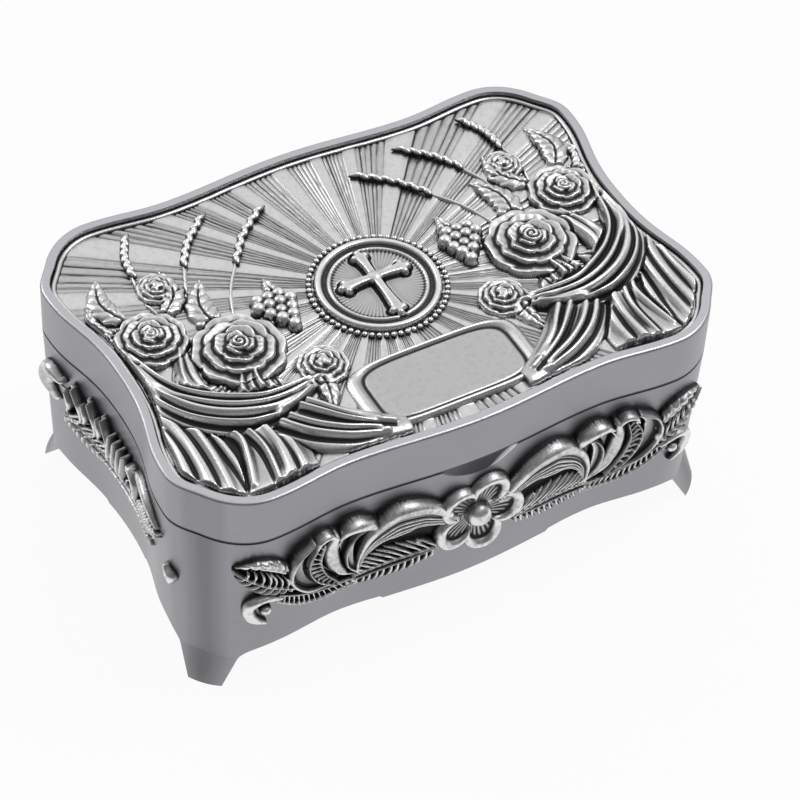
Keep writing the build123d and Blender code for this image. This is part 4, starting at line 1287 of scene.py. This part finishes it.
class ROSARYBOX_OT_lid_relief(bpy.types.Operator):
    """Adds the sculpted plaque of the lid: sunburst, tablet, roses, cloth and the medal with its beads"""
    bl_idname = "rosarybox.lid_relief"
    bl_label = "Lid relief"

    def execute(self, context):
        finish, sizes = context.scene.rosary_finish, context.scene.rosary_sunburst
        metal = patina_and_shade_pewter("relief_pewter", finish.relief_colour, finish.roughness - 0.06,
                                 finish.patina_colour, speckle=0.12)
        plate = sunburst_plate(turns=sizes.rays * RAY_POINTS, rings=PLATE_RINGS)
        grown(plate, *sunburst_tree(), **{
            "Rays": sizes.rays, "Lines": sizes.lines, "Broad Share": sizes.broad_share,
            "Relief": sizes.relief, "Seed": 4.0, "Finish": metal})
        group = Relief((8.5, -26.5), (38.6, 22.0), LID_STEP, LID_SUNK)
        lay_garland(group)
        group.trim(inside_outline(group.u, group.v, PLAQUE_INSET + BORDER_WIDTH))
        right = solid("relief_group_right", group, lid_place, LID_SHOWN)
        left = mirrored(right, "relief_group_left", FLIP_X)
        blank = Relief((-14.0, -24.5), (14.0, -10.5), LID_STEP, LID_SUNK)
        lay_tablet(blank)
        tablet = solid("blank_tablet", blank, lid_place, LID_SHOWN)
        field = Relief((-9.6, -9.6), (9.6, 9.6), MEDAL_STEP, LID_SUNK)
        lay_medallion(field, MEDAL_RADIUS)
        medal = solid("cross_medal", field, lid_place, LID_SHOWN)
        bead = drop("bead", long=0.42, wide=0.42, high=0.42)
        circle = [(BEAD_RING * math.cos(a), BEAD_RING * math.sin(a), SUNBURST_LEVEL + 0.35)
                  for a in np.linspace(0, 2 * math.pi, 180, endpoint=False)]
        beads = strung("bead_ring", circle, bead, metal, count=61, closed=True)
        grain = drop("grain", long=1.15, wide=0.46, high=0.55, tip=0.5)
        ears = []
        for k, path in enumerate((((14.4, 12.6), (11.4, 16.4), (7.4, 19.6)),
                                  ((20.8, 15.2), (18.6, 18.4), (15.2, 21.6)),
                                  ((27.9, 16.4), (27.4, 19.4), (25.8, 22.6)))):
            line = [(x, y, SUNBURST_LEVEL + 0.55) for x, y in curve_through(path, 24)]
            ears.append(strung(f"ear_{k}", line, grain, metal, count=12, lean=0.42, aside=0.46))
        wheat = ears[0]
        join(wheat, *ears[1:])
        wheat.name = "wheat_right"
        wheat_left = mirrored(wheat, "wheat_left", FLIP_X)
        for piece in (plate, right, left, tablet, medal, beads, wheat, wheat_left, plaque_edge()):
            dress(piece, metal)
            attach(piece, "lid")
        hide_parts("lid_relief_plaque")
        for template in (bead, grain):
            bpy.data.objects.remove(template)
        return {"FINISHED"}


def plaque_edge():
    """The plaque's raised border, drawn along its outline."""
    profile = ((0.0, -0.6), (0.0, 0.32), (0.12, 0.45), (0.42, 0.45), (0.6, 0.3), (BORDER_WIDTH, 0.05),
               (BORDER_WIDTH, -0.6))
    rings = [(PLAQUE_INSET + along, SUNBURST_LEVEL + up) for along, up in profile]
    return ringed("plaque_edge", rings, step=4, hollow=(0.9, 0.2, 0, 0, 0.1, 0.9, 1),
                  crest=(0, 0.1, 0.6, 0.6, 0.2, 0, 0))


# ------------------------------------------------------------------ linings

def velvet(name, rgb):
    """Short-pile velvet, with the pile brushed lighter and darker in patches."""
    material, nodes, cloth = shader(name)
    place = nodes.place()
    patches = nodes.noise(place, 110.0, 3.0, 0.55)
    pile = nodes.noise(place, 6500.0, 2.0, 0.7)
    tint = nodes.blend(nodes.spread(patches, 0.35, 0.65), colour(rgb, 0.6), colour(rgb, 1.5))
    nodes.set(cloth, Base_Color=nodes.blend(nodes.spread(pile, 0.3, 0.7), colour(rgb, 0.5), tint),
              Roughness=nodes.spread(pile, 0.2, 0.8, 0.8, 1.0), Specular_IOR_Level=0.15, Sheen_Weight=0.55,
              Sheen_Roughness=0.35, Sheen_Tint=(0.45, 0.45, 0.55, 1), Normal=bump(nodes, pile, 0.6, 0.00008))
    return material


def slab(name, inset, low, high):
    """A closed slab cut to the outline: even triangles above and below, and a rounded edge between them."""
    at = np.arange(0, len(RIM), 12)
    count = len(at)
    edge = RIM[at] - RIM_NORMALS[at] * (inset + PAD_EDGE)
    across, along = np.abs(edge).max(0)
    u, v = np.meshgrid(np.arange(-across, across, PAD_CELL),
                       np.arange(-along, along, PAD_CELL * math.sqrt(0.75)))
    u[::2] += PAD_CELL / 2
    kept = inside_outline(u, v, inset + PAD_EDGE) > 0.6 * PAD_CELL
    flat = [Vector(place) for place in edge] + [Vector(place) for place in zip(u[kept], v[kept])]
    ring = [(k, (k + 1) % count) for k in range(count)]
    places, _, triangles, origins, _, _ = delaunay_2d_cdt(flat, ring, [], 1, 1e-6)
    on_ring = {first: k for k, found in enumerate(origins) for first in found if first < count}
    made = bmesh.new()
    floor, top = ([made.verts.new((place.x * MM, place.y * MM, height * MM)) for place in places]
                  for height in (low, high))
    for triangle in triangles:
        made.faces.new([floor[k] for k in reversed(triangle)])
        made.faces.new([top[k] for k in triangle])
    rows = [[floor[on_ring[k]] for k in range(count)]]
    for height in (low + 0.25, high - 0.25):
        rows.append([made.verts.new(place) for place in ring_points(at, inset + 0.1, height) * MM])
    rows.append([top[on_ring[k]] for k in range(count)])
    for lower, upper in zip(rows[:-1], rows[1:]):
        for k, following in ring:
            made.faces.new((lower[k], lower[following], upper[following], upper[k]))
    loose = [corner for corner in made.verts if not corner.link_faces]
    bmesh.ops.delete(made, geom=loose, context="VERTS")
    return placed(name, poured(bpy.data.meshes.new(name), made, outwards=True))


def pad(name, inset, low, high, swell, upwards):
    """A velvet pad, blown up by a cloth simulation and held within a limit, with swell only on one face."""
    piece = slab(name, inset, low + 0.05, high - 0.05)
    piece.data.transform(Matrix.Scale(PAD_SCALE, 4))
    rest = corners(piece.data)
    blown = piece.modifiers.new("blown", "CLOTH")
    blown.settings.use_pressure = True
    blown.settings.uniform_pressure_force = 4.0
    blown.settings.effector_weights.gravity = 0.0
    blown.point_cache.frame_start, blown.point_cache.frame_end = 1, 20
    for moment in range(1, 21):
        bpy.context.scene.frame_set(moment)
    made_plain(piece)
    bpy.context.scene.frame_set(1)
    moved = corners(piece.data) - rest
    far = np.linalg.norm(moved, axis=1, keepdims=True)
    limit = swell * MM * PAD_SCALE
    places = rest + moved * np.minimum(1, limit / np.maximum(far, 1e-9))
    bottom, top = (low, high + swell) if upwards else (low - swell, high)
    places[:, 2] = np.clip(places[:, 2], bottom * MM * PAD_SCALE, top * MM * PAD_SCALE)
    piece.data.vertices.foreach_set("co", places.astype(np.float32).ravel())
    smooth = piece.modifiers.new("smooth", "SUBSURF")
    smooth.levels = smooth.render_levels = 1
    made_plain(piece)
    piece.data.transform(Matrix.Scale(1 / PAD_SCALE, 4))
    piece.data.shade_smooth()
    return piece


class ROSARYBOX_OT_linings(bpy.types.Operator):
    """Adds the velvet linings: the base's floor pad and wall band, and the lid's pad"""
    bl_idname = "rosarybox.linings"
    bl_label = "Velvet linings"

    def execute(self, context):
        cloth = velvet("black_velvet", context.scene.rosary_finish.velvet_colour)
        floor_pad = pad("floor_cushion", inset=3.38, low=8.45, high=9.65, swell=0.25, upwards=True)
        lid_pad = pad("lid_cushion", inset=2.1, low=31.75, high=32.55, swell=0.2, upwards=False)
        outer = [(1.92 + lean(z), z) for z in (8.5, 15.0, 22.0, 26.8)]
        roll = [(2.1 + lean(27.05), 27.05), (2.35 + lean(27.05), 26.95)]
        inner = [(2.5 + lean(z) + 0.02 * k, z) for k, z in enumerate((26.6, 22.0, 15.0, 8.5))]
        band = turned_out(ringed("wall_velvet", outer + roll + inner, step=6))
        for piece, node, body, fill in ((floor_pad, "base_floor_pad", "base", 0.6),
                                        (lid_pad, "lid_lining_pad", "lid", 0.5),
                                        (band, "base_wall_lining", "base", 0.9)):
            dress(piece, cloth)
            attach(piece, body)
            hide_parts(node)
        return {"FINISHED"}


class ROSARYBOX_PT_panel(bpy.types.Panel):
    """Lists the box's settings and the buttons that add its pieces"""
    bl_label = "Rosary Box"
    bl_idname = "ROSARYBOX_PT_panel"
    bl_space_type = "VIEW_3D"
    bl_region_type = "UI"
    bl_category = "Rosary Box"

    def draw(self, context):
        for name in GROUPS:
            group = getattr(context.scene, name)
            for field in group.bl_rna.properties.keys():
                if field not in ("rna_type", "name"):
                    self.layout.prop(group, field)
        for operator in OPERATORS:
            self.layout.operator(operator.bl_idname)


OPERATORS = (
    ROSARYBOX_OT_stage,
    ROSARYBOX_OT_castings,
    ROSARYBOX_OT_rosettes,
    ROSARYBOX_OT_sprays,
    ROSARYBOX_OT_lid_relief,
    ROSARYBOX_OT_linings,
)
GROUPS = {
    "rosary_finish": FinishSettings,
    "rosary_rosette": RosetteSettings,
    "rosary_sunburst": SunburstSettings,
}


def register():
    for item in (*GROUPS.values(), *OPERATORS, ROSARYBOX_PT_panel):
        bpy.utils.register_class(item)
    for name, group in GROUPS.items():
        setattr(bpy.types.Scene, name, PointerProperty(type=group))


def unregister():
    for name in GROUPS:
        delattr(bpy.types.Scene, name)
    for item in (ROSARYBOX_PT_panel, *OPERATORS, *GROUPS.values()):
        bpy.utils.unregister_class(item)


def main():
    register()
    for operator in OPERATORS:
        group, name = operator.bl_idname.split(".")
        getattr(getattr(bpy.ops, group), name)()


if __name__ == "__main__":
    main()
